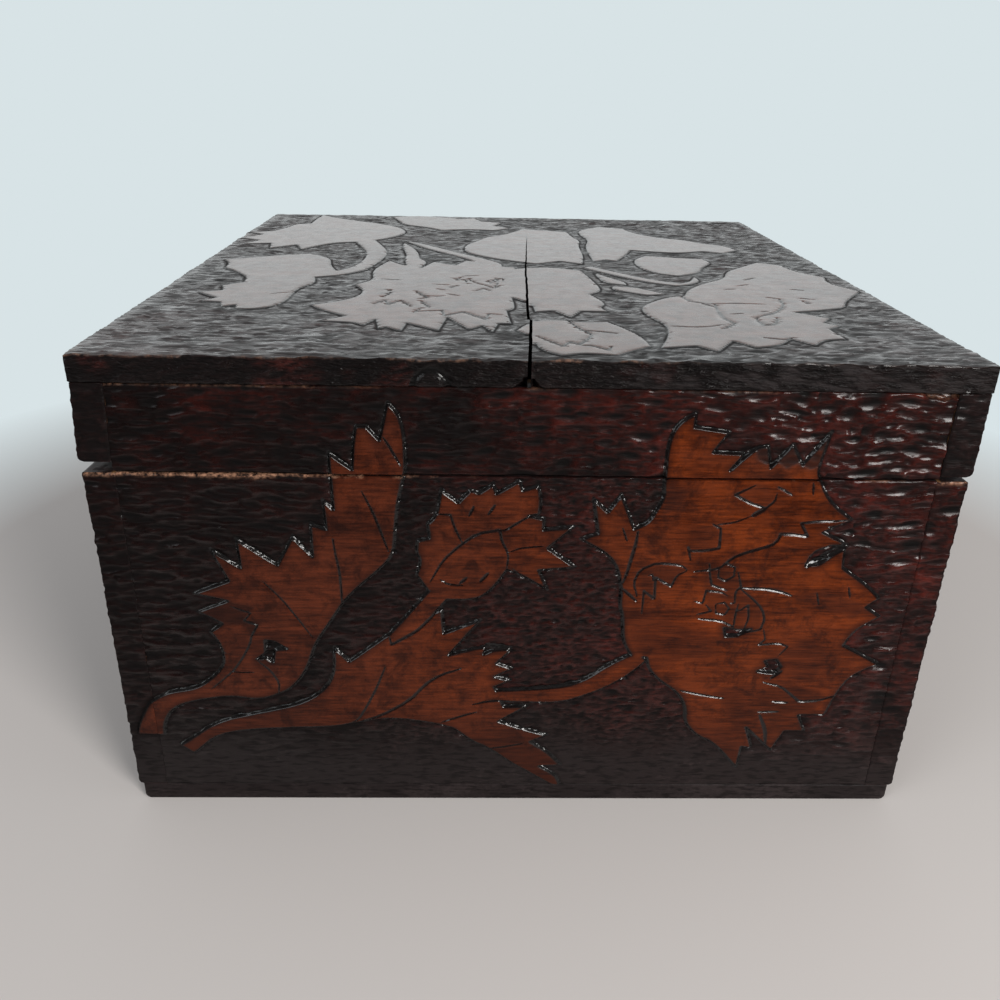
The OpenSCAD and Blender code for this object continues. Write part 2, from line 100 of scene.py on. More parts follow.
def ramp(x, low, high):
    """0 below low, 1 above high, smooth between; falls instead where low is above high."""
    t = np.clip((x - low) / (high - low), 0, 1)
    return t * t * (3 - 2 * t)


def least(*values):
    return np.minimum.reduce(np.broadcast_arrays(*values))


def gouge_layer(p, q, long, tall, seed):
    """One layer of cuts, each in a cell of this size: from 0 at a cut's rim to 1 in its middle."""
    row = np.floor(q / tall)
    depth = np.full(np.broadcast(p, q).shape, -1.0)
    for dj in (-1, 0, 1):
        j = row + dj
        shift = dice(j, 3.0, seed) * long
        column = np.floor((p - shift) / long)
        for di in (-1, 0, 1):
            i = column + di
            u, v = dice(i, j, seed + 1) - 0.5, dice(i, j, seed + 2) - 0.5
            across, over = p - (i + 0.5 + 0.8 * u) * long - shift, q - (j + 0.5 + 0.7 * v) * tall
            over = over + 0.16 * (dice(i, j, seed + 7) - 0.5) * across
            rp = long * (0.4 + 0.6 * dice(i, j, seed + 3))
            rq = tall * (0.5 + 0.4 * dice(i, j, seed + 4))
            force = 0.5 + 0.5 * dice(i, j, seed + 6)
            # A cut starts steep at one end and runs out shallow at the other
            along = across / rp
            along = along + 0.35 * (along * along - 0.4)
            depth = np.maximum(depth, force * (1 - along * along - (over / rq) ** 2))
    return depth


def gouges(p, q, long, tall, seed, wave=0.7):
    """How deep, from 0 to about 1, a ground of overlapping gouge cuts lies; the cuts run along p."""
    p = p + 0.3 * long * noise(p, q, 2.3 * long, seed + 5)
    q = q + wave * tall * (0.5 * noise(p, q, 1.3 * long, seed + 9) + 1.2 * noise(p, q, 5 * long, seed + 10))
    first = gouge_layer(p, q, long, tall, seed)
    second = gouge_layer(p + 3.7, 1.03 * q + 1.3, 0.62 * long, 0.8 * tall, seed + 40)
    return np.clip(np.maximum(first, 0.85 * second), -0.2, 1)


# ---------------------------------------------------------------- drawings
# Points nearer than this to a plane lie in it
IN_PLANE = 0.02


def proud_loops(node, axis, level):
    """Outlines of a node's flat faces that lie at this level, in its other two coordinates."""
    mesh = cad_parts[node].data
    at = np.round(points_of(mesh), 3)
    others = [k for k in range(3) if k != axis]
    edges = {}
    for face in mesh.polygons:
        corners = [at[v] for v in face.vertices]
        if all(abs(c[axis] - level) < IN_PLANE for c in corners):
            flat = [tuple(c[others]) for c in corners]
            for a, b in zip(flat, flat[1:] + flat[:1]):
                if not edges.pop((b, a), False):
                    edges[(a, b)] = True
    follow = dict(edges.keys())
    loops = []
    while follow:
        start, point = next(iter(follow.items()))
        del follow[start]
        loop = [start]
        while point != start:
            loop.append(point)
            point = follow.pop(point)
        loops.append(np.array(loop))
    return loops


def cross(u, v):
    return u[..., 0] * v[..., 1] - u[..., 1] * v[..., 0]


def straightened(loop):
    """The loop without the points that lie on a straight stretch."""
    kept = []
    for a, b, c in zip(np.roll(loop, 1, 0), loop, np.roll(loop, -1, 0)):
        u, v = b - a, c - b
        if abs(cross(u, v)) > 0.004 * np.linalg.norm(u) * np.linalg.norm(v):
            kept.append(b)
    return np.array(kept)


def softened(loop, on_border, sharp=48, rounds=3):
    """Rounds the gentle bends of an outline; its tips and the points on a board's border stay."""
    before, after = loop - np.roll(loop, 1, 0), np.roll(loop, -1, 0) - loop
    turn = np.degrees(np.abs(np.arctan2(cross(before, after), (before * after).sum(1))))
    fixed = list((turn > sharp) | on_border)
    points = list(loop)
    for _ in range(rounds):
        new, kept = [], []
        for k, p in enumerate(points):
            q, q_fixed = points[(k + 1) % len(points)], fixed[(k + 1) % len(points)]
            new.append(p if fixed[k] else 0.75 * p + 0.25 * q)
            kept.append(fixed[k])
            if not q_fixed:
                new.append(0.25 * p + 0.75 * q)
                kept.append(False)
        points, fixed = new, kept
    return np.array(points)


def stretches(loop):
    """Both ends of each stretch of a closed outline."""
    return zip(loop, np.roll(loop, -1, 0))


def in_pairs(numbers):
    """Points from a flat row of their coordinates."""
    return np.reshape(np.array(numbers, float), (-1, 2))


class Sheet:
    """A drawing on a flat face, kept on a fine grid: how far each spot lies inside a figure,
    and how strongly a cut line runs over it."""

    # How far from an outline distances are kept, how far outside and inside its own outline a
    # shaded patch fades, and how wide a line's ends are as a share of its middle
    REACH = 5.0
    FADE = (-1.6, 1.2)
    THIN_END = 0.35
    # How near an outline or a line's middle a grid point is moved onto it, as a share of the
    # grid's step, and how near an outline and a line's middle the grid is cut finer
    SNAP = 0.42
    BUSY = (0.95, 0.75)

    def __init__(self, low, high, step):
        self.low, self.step = np.array(low, float), step
        self.size = np.ceil((np.array(high) - self.low) / step).astype(int) + 1
        self.dist = np.full(self.size, self.REACH)
        self.inside = np.zeros(self.size, bool)
        self.gap = np.full(self.size, self.REACH)
        self.half = np.full(self.size, 0.5)
        self.shade = np.zeros(self.size)

    def near(self, a, b, reach):
        """The part of the grid near a stretch, its distance from it and how far along that is."""
        low = np.floor((np.minimum(a, b) - reach - self.low) / self.step).astype(int)
        high = np.ceil((np.maximum(a, b) + reach - self.low) / self.step).astype(int) + 1
        low, high = np.clip(low, 0, self.size), np.clip(high, 0, self.size)
        where = (slice(low[0], high[0]), slice(low[1], high[1]))
        p = self.low[0] + self.step * np.arange(low[0], high[0])[:, None]
        q = self.low[1] + self.step * np.arange(low[1], high[1])[None, :]
        d = b - a
        along = ((p - a[0]) * d[0] + (q - a[1]) * d[1]) / max(d @ d, 1e-9)
        along = np.clip(along, 0, 1)
        gap = np.hypot(p - a[0] - along * d[0], q - a[1] - along * d[1])
        return where, gap, along

    def measure(self, loop, borders=lambda p: set()):
        """Takes an outline into the distances, but for its stretches along a border."""
        for a, b in stretches(loop):
            if not borders(a) & borders(b):
                where, gap, _ = self.near(a, b, self.REACH)
                self.dist[where] = np.minimum(self.dist[where], gap)

    def fill(self, loop):
        """True over the loop's inside, by counting crossings along each grid line."""
        odd = np.zeros((self.size[0] + 1, self.size[1]), int)
        for a, b in stretches(loop):
            if a[1] > b[1]:
                a, b = b, a
            k0, k1 = np.ceil((np.array([a[1], b[1]]) - self.low[1]) / self.step - 1e-9)
            k = np.arange(max(int(k0), 0), min(int(k1), self.size[1]))
            if len(k) == 0:
                continue
            q = self.low[1] + self.step * k
            p = a[0] + (q - a[1]) / (b[1] - a[1]) * (b[0] - a[0])
            column = np.clip(np.ceil((p - self.low[0]) / self.step), 0, self.size[0]).astype(int)
            np.add.at(odd, (column, k), 1)
        return np.cumsum(odd[:-1], 0) % 2 == 1

    def figure(self, loop, borders):
        """Adds a figure. borders(p) gives the lines that the drawing runs across and p lies on."""
        loop = straightened(loop)
        loop = softened(loop, np.array([bool(borders(p)) for p in loop]))
        self.inside |= self.fill(loop)
        self.measure(loop, borders)

    def line(self, width, points):
        """Adds a cut line that narrows to its ends; width is its full width in the middle."""
        points = [points[0], *bent(points), points[-1]]
        steps = [np.linalg.norm(b - a) for a, b in zip(points, points[1:])]
        total, run = sum(steps), 0.0
        for a, b, length in zip(points, points[1:], steps):
            where, gap, along = self.near(a, b, 1.5 * width)
            part = (run + along * length) / total
            middle = np.clip(4 * part * (1 - part), 0, 1) ** 0.5
            taper = self.THIN_END + (1 - self.THIN_END) * middle
            closer = gap < self.gap[where]
            self.gap[where] = np.where(closer, gap, self.gap[where])
            self.half[where] = np.where(closer, width / 2 * taper, self.half[where])
            run += length

    def darken(self, strength, loop):
        """Adds a patch inside the figures that was shaded with the hot iron."""
        inside = self.fill(loop)
        for a, b in stretches(loop):
            where, gap, _ = self.near(a, b, 2.5)
            signed = np.where(inside[where], gap, -gap)
            edge = np.maximum(self.shade[where], strength * ramp(signed, *self.FADE))
            self.shade[where] = np.where(inside[where], self.shade[where], edge)
        self.shade = np.where(inside, np.maximum(self.shade, strength), self.shade)

    def cut_away(self, loop):
        """Adds a notch inside a figure that is cut down to the ground."""
        self.inside &= ~self.fill(loop)
        self.measure(loop)

    def close(self):
        """Gives the ground its negative distances, once every figure is in."""
        self.dist = np.where(self.inside, self.dist, -self.dist)
        self.slopes = [(self.dist, *np.gradient(self.dist, self.step)),
                       (self.gap, *np.gradient(self.gap, self.step))]

    def read(self, field, p, q):
        """A field's value at any points, blended from the four grid spots round each."""
        i = np.clip((p - self.low[0]) / self.step, 0, self.size[0] - 1.001)
        j = np.clip((q - self.low[1]) / self.step, 0, self.size[1] - 1.001)
        a, b = i.astype(int), j.astype(int)
        u, v = i - a, j - b
        return ((field[a, b] * (1 - u) + field[a + 1, b] * u) * (1 - v)
                + (field[a, b + 1] * (1 - u) + field[a + 1, b + 1] * u) * v)

    def snap(self, p, q, step_p, step_q):
        """Moves grid points that nearly lie on an outline or in the middle of a line onto it."""
        for field, slope_p, slope_q in self.slopes:
            d, gp, gq = (self.read(each, p, q) for each in (field, slope_p, slope_q))
            size = np.maximum(np.hypot(gp, gq), 1e-6)
            gp, gq = gp / size, gq / size
            close = (np.abs(d * gp) < self.SNAP * step_p) & (np.abs(d * gq) < self.SNAP * step_q)
            close = close & (size > 0.25)
            p, q = np.where(close, p - d * gp, p), np.where(close, q - d * gq, q)
        return p, q

    def busy(self, p, q):
        """Where the grid is cut finer: along outlines and lines."""
        return ((np.abs(self.read(self.dist, p, q)) < self.BUSY[0])
                | (self.read(self.gap, p, q) < self.BUSY[1]))


def bent(points):
    """Inner points of a line with its gentle bends rounded once."""
    new = []
    for a, b, c in zip(points, points[1:], points[2:]):
        u, v = b - a, c - b
        turn = abs(math.atan2(cross(u, v), u @ v))
        new += [b] if turn > 0.9 else [0.2 * a + 0.8 * b, 0.8 * b + 0.2 * c]
    return new


# Lines cut into the front's figures: width, then the x and height of each point
FRONT_LINES = [
    (1.1, -48.2, 114.4, -45.2, 107.8, -43, 101.1, -41, 94.8),
    (1.1, -57.3, 99.8, -56.8, 94.4, -55.8, 87.8, -55.6, 81.1, -55.7, 76.7),
    (0.9, -79.1, 84.7, -73.6, 78.3, -69.1, 71.1, -65.2, 64.4),
    (1.0, -89.7, 75.6, -83.6, 73.3, -85.8, 70.6, -81.9, 68.9, -84.1, 65, -84.7, 62.2, -87.5, 57, -90.8,
     52.2, -98.6, 45), (1.0, -83, 56.1, -79.1, 52.2, -76.9, 47.8, -77.4, 43.5),
    (0.7, -94.7, 61.1, -92.4, 58.3), (0.7, -92, 52, -88, 51.6, -84, 51.8),
    (1.1, -41.5, 131, -40, 128.5, -36.7, 122.2),
    (1.1, -43.3, 54.2, -46.3, 46.1, -49.7, 38.9, -52.4, 33.9, -55.2, 32),
    (1.5, -19.4, 53.6, -26.1, 51.1, -30.6, 47.8, -36.1, 41.1, -45, 35.3, -52.4, 32.6),
    (1.1, -26, 32.5, -22, 34.2, -18, 35.6, -14.5, 36.8), (1.1, -16, 39.6, -12, 40.8, -8, 41.3, -3, 40.8),
    (0.9, -10.3, 22, -5, 22.8, 1, 24.2),
    (1.3, -28.9, 84.7, -25, 92.2, -20, 97.2, -15, 101.1, -8.3, 102.4, -7.8, 98.9, -5.6, 94.4, -6.1, 89),
    (1.1, -26.5, 107.3, -22.8, 107.2, -21.7, 103.3, -19.4, 98),
    (1.1, -8.3, 102.4, -6.7, 102.2, -2.8, 105, 0.6, 107.2), (1.3, -15.9, 110, -17.4, 106.7),
    (1.3, -9.7, 110.6, -11.9, 107.2), (1.6, -17.8, 86.4, -20.2, 84.2), (1.6, -11.4, 88, -14.1, 84.8),
    (0.9, -26, 85.6, -23.5, 83.9, -19, 83.6), (1.0, -4.4, 89.4, -1.1, 86.7, 0.6, 84.4),
    (0.8, -5.5, 95, -2, 96.5, 5, 97.2),
    (1.2, 65, 117.5, 59.4, 114.4, 64, 111.8, 68.8, 110.2, 71.2, 112.5, 71.5, 115),
    (1.0, 71.2, 117.2, 76.2, 114.4), (1.0, 81.5, 118.5, 82, 114.5),
    (1.3, 53.8, 105, 56.5, 103.5, 56.8, 97, 53.5, 96.2, 48.1, 96, 47.5, 97.2, 48.8, 92.5),
    (1.4, 50, 89, 57.5, 90, 61.2, 93.8, 65, 95.6, 72.5, 98.1, 74, 100, 74.4, 101.8, 77.5, 101.9, 82.5,
     101.2, 80, 105.4, 85, 106.2, 90, 106.2, 93.8, 106.7),
    (1.2, 33.8, 80, 32.2, 85, 33.8, 89.4, 38.8, 91.9, 46.2, 91.2, 48.1, 89.4),
    (1.2, 48.1, 89.4, 45, 87.5, 43.8, 83.8, 38.8, 86.9, 39, 79.5, 35.6, 82.2, 35.6, 73.8),
    (1.5, 28.8, 83.1, 33.8, 78.5), (0.7, 36.3, 87.4, 37.8, 88, 38, 85.6),
    (1.1, 54.5, 92, 55, 88, 56, 84.5, 61, 82.5),
    (1.0, 57.6, 90.5, 57.6, 87.2, 60, 85.9, 62.4, 87.5, 62.4, 90.4, 60, 91.8, 57.6, 90.5),
    (1.0, 63.5, 89, 65, 84, 63.5, 82, 63.8, 78.2, 62.3, 78),
    (1.0, 51.2, 78.8, 54, 78, 54.6, 82.5, 59.4, 82, 61.5, 80.5),
    (1.2, 53, 72.5, 60, 71.9, 63.8, 70, 64.8, 69.2), (1.0, 52.5, 74, 56.9, 75.2, 55, 77.5),
    (0.9, 58, 77.8, 58.4, 74.6, 61.2, 74, 62.4, 76.2, 60.6, 78.4, 58, 77.8),
    (1.1, 65, 83.1, 68.8, 80, 72.5, 76.2, 73.8, 72.5, 73.1, 68.8, 68.1, 67.5, 66.9, 68.8),
    (1.0, 65, 78, 64.4, 72.5, 64.6, 69.6), (1.0, 65, 75, 68.1, 77.5, 68.8, 72.5, 67.8, 68.8),
    (1.4, 65, 83.5, 72.5, 83.3, 77.5, 82.3, 81.2, 80.8), (0.9, 88.5, 82, 89.8, 77.5),
    (1.0, 74, 68.8, 75, 65, 73.1, 63.1, 79.4, 63.8, 82.5, 62.5, 80, 58.8),
    (1.3, 76.6, 48.9, 82.5, 47.4, 86.8, 43.7, 89.5, 41.3, 96, 42, 101, 44),
    (1.3, 50.2, 45.6, 57.5, 43.9, 65, 42.5), (1.8, 77.2, 36.3, 80, 30, 80.8, 24),
    (1.0, 97.9, 84, 98.9, 80.3),
    (1.5, -25.6, 76.5, -29, 72, -33, 67.5, -37.5, 64.6, -41.2, 62.3, -41.8, 65.5),
    (2.2, 69, 110.2, 65, 107.6), (0.8, 65, 107.6, 60.3, 105.5, 55, 104.7),
    (1.6, 32.2, 102.5, 31.9, 98, 30.9, 93.3, 30.2, 89, 28.9, 84.6), (1.0, 27.6, 103.4, 29.3, 98.8),
    (1.6, 78.6, 50.3, 82.2, 53.4), (1.2, 80.5, 41.4, 86, 41), (1.2, 76.6, 37.2, 83.5, 37.5),
    (1.4, 86.5, 102.5, 97, 101.8), (1.2, 88, 104.2, 96, 104.8),
]
# Notches in the front's figures that are cut down to the ground: the x and height of each corner
FRONT_NOTCHES = [
    (-80, 63.6, -77.4, 63.1, -73.5, 60.6, -77.4, 60.2, -78.2, 55.6, -80.2, 57.2, -83, 56.7, -80.2, 58.9),
    (83.6, 91.4, 84.6, 94.5, 86.2, 96.4, 90, 98.1, 95, 98.3, 91.2, 95, 87.5, 91.8),
    (74.3, 53.2, 77.5, 54.6, 76.2, 57, 79.6, 57.5, 81.4, 55, 80.2, 52.3, 77.5, 52.6),
    (61.7, 69.2, 66, 68.4, 70, 68.8, 66, 66.4, 62.4, 66.2),
    (-11.5, 62.5, -4, 61, -9.9, 60.4, -12.6, 58.9),
]
# Lines cut into the lid's figures: width, then the x and y of each point
LID_LINES = [
    (1.3, -50, -80, -46.5, -74, -45, -80.5, -41.4, -74),
    (0.8, -48.4, -70, -46, -64.4, -46, -57.5, -48, -57), (1.3, -37.4, -59, -32.5, -70, -35.7, -71.5),
    (1.3, -34.7, -74.3, -31.3, -84),
    (1.4, -36, -90, -27, -88, -26, -95, -20, -89.5, -13, -99, -12, -91.5, -8, -93),
    (0.9, -19, -35, -18, -41), (0.9, -12, -38, -11, -44, -9, -34, -8, -42, -10, -52),
    (0.9, -30, -55, -27, -57), (0.9, -31, -47, -26, -48), (0.9, -26, -63, -22, -66),
    (0.9, -24, -40, -22, -33), (0.6, -86, -67, -80, -64),
    (1.4, 1.8, -118.5, 8.8, -129.6, 11.2, -124.2, 13.5, -127.6, 17.7, -118.7, 18.3, -115.5, 15, -108.5,
     14, -104, 12, -96), (1.2, 17, -111.5, 22.8, -113, 26, -114.5),
    (1.3, 13.8, -128.3, 17, -128.3, 21.3, -133, 22.6, -128.5),
    (1.3, 56, -60, 56.3, -64.6, 57.4, -69.5, 60.5, -71.5),
    (1.5, 65, -72.5, 63.8, -80, 63.2, -88, 63.1, -93.3, 65, -99.6, 61.9, -104, 59.5, -107),
    (1.1, 65, -72.3, 73, -71, 82, -72),
    (1.4, 73.8, -91.3, 81.5, -85, 84.8, -80.3, 88.4, -73, 89.8, -63.5, 86, -61),
    (1.6, 74.2, -91.6, 73.2, -95, 73.5, -101.5, 76.8, -100.8, 80.2, -94.5, 80.6, -91),
    (1.0, 67, -87.5, 71, -86), (1.2, 69, -117, 75, -119, 78, -116.5),
    (1.0, 44, -104.5, 51, -105.5, 57, -104, 60, -102), (1.0, -41.4, -74, -37.3, -83),
    (1.0, -36.2, -91.5, -33.7, -84.8), (0.9, -34, -66, -29.7, -67.6, -27, -66),
    (0.9, -25.7, -35, -20.4, -38, -19.3, -45.5),
    (0.9, -18.3, -39, -16, -44, -12, -48.7, -9.9, -52.2, -7.3, -47),
    (0.8, -9.7, -35.7, -6.5, -34.2, -6, -43), (0.9, -16.4, -57.5, -13.4, -52.5, -11.4, -57),
    (0.8, -25.4, -52.2, -22.8, -48.3), (0.8, -51, -39, -45, -40.4), (0.8, -21.3, -31.3, -15.5, -29.5),
    (1.2, 60.5, -71.5, 63.7, -77.3), (0.9, 80, -42.3, 85.5, -39), (0.9, 85.8, -31, 90.8, -26),
    (0.9, 99, -46.6, 103, -48.2), (1.0, 97.2, -61.5, 101, -63.3), (1.0, 97, -65.3, 98.4, -70.7),
    (1.0, 74, -48.4, 78.3, -47.3), (1.0, 78, -83.3, 80, -82.5),
]
# Patches inside the front's figures that were shaded darker: strength, then each corner
FRONT_SHADES = [
    (0.8, -99.5, 73.5, -90, 77.5, -82.5, 75.5, -86, 71, -80.5, 70, -84, 66, -87, 69.5, -92, 69),
    (0.45, -92, 65, -86, 65.5, -84, 61, -86, 57, -90, 58),
    (0.5, -86, 63, -78, 65, -74, 61, -78, 56, -76, 48, -80, 50, -84, 55),
    (0.9, 62, 136, 64, 126, 67, 124, 70, 124.8, 73, 122.8, 76, 124.4, 80, 122.6, 84, 124, 88, 140),
    (0.35, 28, 76, 40, 76, 46, 70, 60, 66, 62, 60, 50, 58, 40, 52, 28, 56),
    (0.5, 39, 117, 46, 116, 44, 110, 39, 108), (0.45, 86, 122, 110, 116, 108, 108, 96, 112, 84, 116),
    (0.45, 62, 46, 82, 50, 96, 44, 92, 30, 84, 14, 70, 30),
    (0.5, 34, 88, 39, 91, 47, 90, 44, 84, 39, 86.5, 38, 80, 35, 82),
    (0.35, 48, 104, 56, 104.5, 56, 97, 48, 97), (0.35, 60, 114.5, 66, 117.5, 71, 114, 69, 110.5),
    (0.45, 82, 80, 90, 77, 101, 73, 105, 77, 96, 81, 90, 83),
    (0.5, 53, 88, 58, 91, 63, 88, 72, 77, 73, 69, 64, 70, 56, 76),
    (0.35, 78, 52, 92, 50, 96, 60, 88, 66, 80, 60),
]


def front_sheet():
    sheet = Sheet((-128, 0), (128, LID_Z), 0.22)
    joints = ((0, FRONT_LOW[0]), (0, FRONT_HIGH[0]), (1, FRONT_HIGH[2]), (1, RAIL_LOW))

    def borders(p):
        return {(k, v) for k, v in joints if abs(p[k] - v) < IN_PLANE}

    for node in ("front_board", "left_board", "right_board", "lid_front_rail"):
        for loop in proud_loops(node, 1, Y_FRONT):
            sheet.figure(loop, borders)
    for corners in FRONT_NOTCHES:
        sheet.cut_away(in_pairs(corners))
    for width, *points in FRONT_LINES:
        sheet.line(width, in_pairs(points))
    for strength, *corners in FRONT_SHADES:
        sheet.darken(strength, in_pairs(corners))
    sheet.close()
    return sheet


# How far behind the lid's front edge its drying crack has a step, bends and ends, and how much
# wider the lid's lines are cut than their table says
CRACK_STEP, CRACK_BEND, CRACK_END = 45, 125, 205
CRACK_TIP = LID_LOW[1] + CRACK_END
LID_LINE_SCALE = 1.2


def crack_middle(q):
    """Where the crack runs across the lid."""
    q = q - LID_LOW[1]
    front = -1.2 + 2.5 * q / CRACK_STEP
    rear = np.where(q < CRACK_BEND, 0.4 + 2.6 * (q - CRACK_STEP) / (CRACK_BEND - CRACK_STEP),
                    3 + 4 * (q - CRACK_BEND) / (CRACK_END - CRACK_BEND))
    jog = ramp(q, CRACK_STEP, CRACK_STEP + 1.8)
    return front * (1 - jog) + np.minimum(rear, 7) * jog + 0.12 * noise(q, 0, 6, 61)


def crack_half(q):
    """Half the crack's width."""
    return np.interp(q - LID_LOW[1], [0, CRACK_STEP, CRACK_BEND, CRACK_END], [0.52, 0.46, 0.38, 0.1])


def lid_sheet():
    sheet = Sheet(LID_LOW[:2] - 1, LID_HIGH[:2] + 1, 0.3)

    def borders(p):
        return {"crack"} if abs(p[0] - crack_middle(p[1])) < 1.4 and p[1] < CRACK_TIP else set()

    for loop in proud_loops("lid_top", 2, LID_Z):
        sheet.figure(loop, borders)
    # Figures run on across the crack
    rows = sheet.low[1] + sheet.step * np.arange(sheet.size[1])
    middle = crack_middle(rows)
    row = np.arange(len(rows))
    for side in (-1, 1):
        source = np.round((middle + side * 1.6 - sheet.low[0]) / sheet.step).astype(int)
        for k in range(6):
            target = np.round((middle + side * 0.27 * k - sheet.low[0]) / sheet.step).astype(int)
            sheet.inside[target, row] = sheet.inside[source, row]
    for width, *points in LID_LINES:
        sheet.line(LID_LINE_SCALE * width, in_pairs(points))
    sheet.close()
    return sheet


# ---------------------------------------------------------------- boards
# What each point of a mesh tells its material: millimetres inside (or, below 0, outside) a
# figure, how near the middle of a cut line (1) it is, worn wood, how deep in a gouge cut, how
# charred and grey (partly painted sheen on the lid's front edge), how red or orange, and how much on the
# unstained inside
MARKS = ("reach", "cut", "wear", "hollow", "tone", "warm", "inside")
# The values of the first two far from any figure or line
FAR = {"reach": -4.0, "cut": -1.0}
# How far apart the rings of points on a board's edges lie, how far from its edges its inner side
# is unstained, and from what angle a bend between faces is shaded as an edge
RING = 0.6
BARE_FROM = 1.5
SHARP = math.radians(62)


def marks_of(points, **given):
    """A column for each mark, for as many points as there are here."""
    columns = {**FAR, **given}
    return np.stack([np.broadcast_to(columns.get(key, 0.0), np.shape(points)) for key in MARKS], -1)


def lines_along(start, end, pitch, edges):
    """Grid lines at about this pitch, closer at both ends where an edge is rounded."""
    first, last = (np.array([0, 0.2, 0.5, 1.0]) * r for r in edges)
    inner = np.linspace(start + edges[0], end - edges[1],
                        max(2, int(round((end - start - sum(edges)) / pitch)) + 1))
    return np.concatenate([start + first[:-1], inner, (end - last)[::-1][1:]])


def rounded(e, r):
    """How far an edge of this radius falls away at a distance e from it."""
    e, r = np.clip(e, 0, r), np.maximum(r, 1e-6)
    return r - np.sqrt(np.clip(r * r - (r - e) ** 2, 0, None))


def make_mesh(name, points, corners, totals, marks, walls_from):
    """An object of these faces. From face walls_from on it takes its second material."""
    mesh = bpy.data.meshes.new(name)
    mesh.vertices.add(len(points))
    mesh.vertices.foreach_set("co", (points * MM).astype(np.float32).ravel())
    mesh.loops.add(len(corners))
    mesh.loops.foreach_set("vertex_index", corners.astype(np.int32))
    mesh.polygons.add(len(totals))
    mesh.polygons.foreach_set("loop_start", (np.cumsum(totals) - totals).astype(np.int32))
    mesh.polygons.foreach_set("loop_total", totals.astype(np.int32))
    smooth = np.ones(len(totals), bool)
    smooth[-1] = False  # the inner side, which comes last
    mesh.polygons.foreach_set("use_smooth", smooth)
    if walls_from:
        second = np.arange(len(totals)) >= walls_from
        mesh.polygons.foreach_set("material_index", second.astype(np.int32))
    set_marks(mesh, marks)
    mesh.update(calc_edges=True)
    mesh.validate()
    mesh.set_sharp_from_angle(angle=SHARP)
    return placed(name, mesh)


def set_marks(mesh, marks):
    for key, column in zip(MARKS, marks.T):
        layer = mesh.attributes.new(key, "FLOAT", "POINT")
        layer.data.foreach_set("value", np.ascontiguousarray(column, np.float32))


def halved(lines):
    """Grid lines with one more in the middle between each two."""
    return np.interp(np.arange(2 * len(lines) - 1) / 2, np.arange(len(lines)), lines)


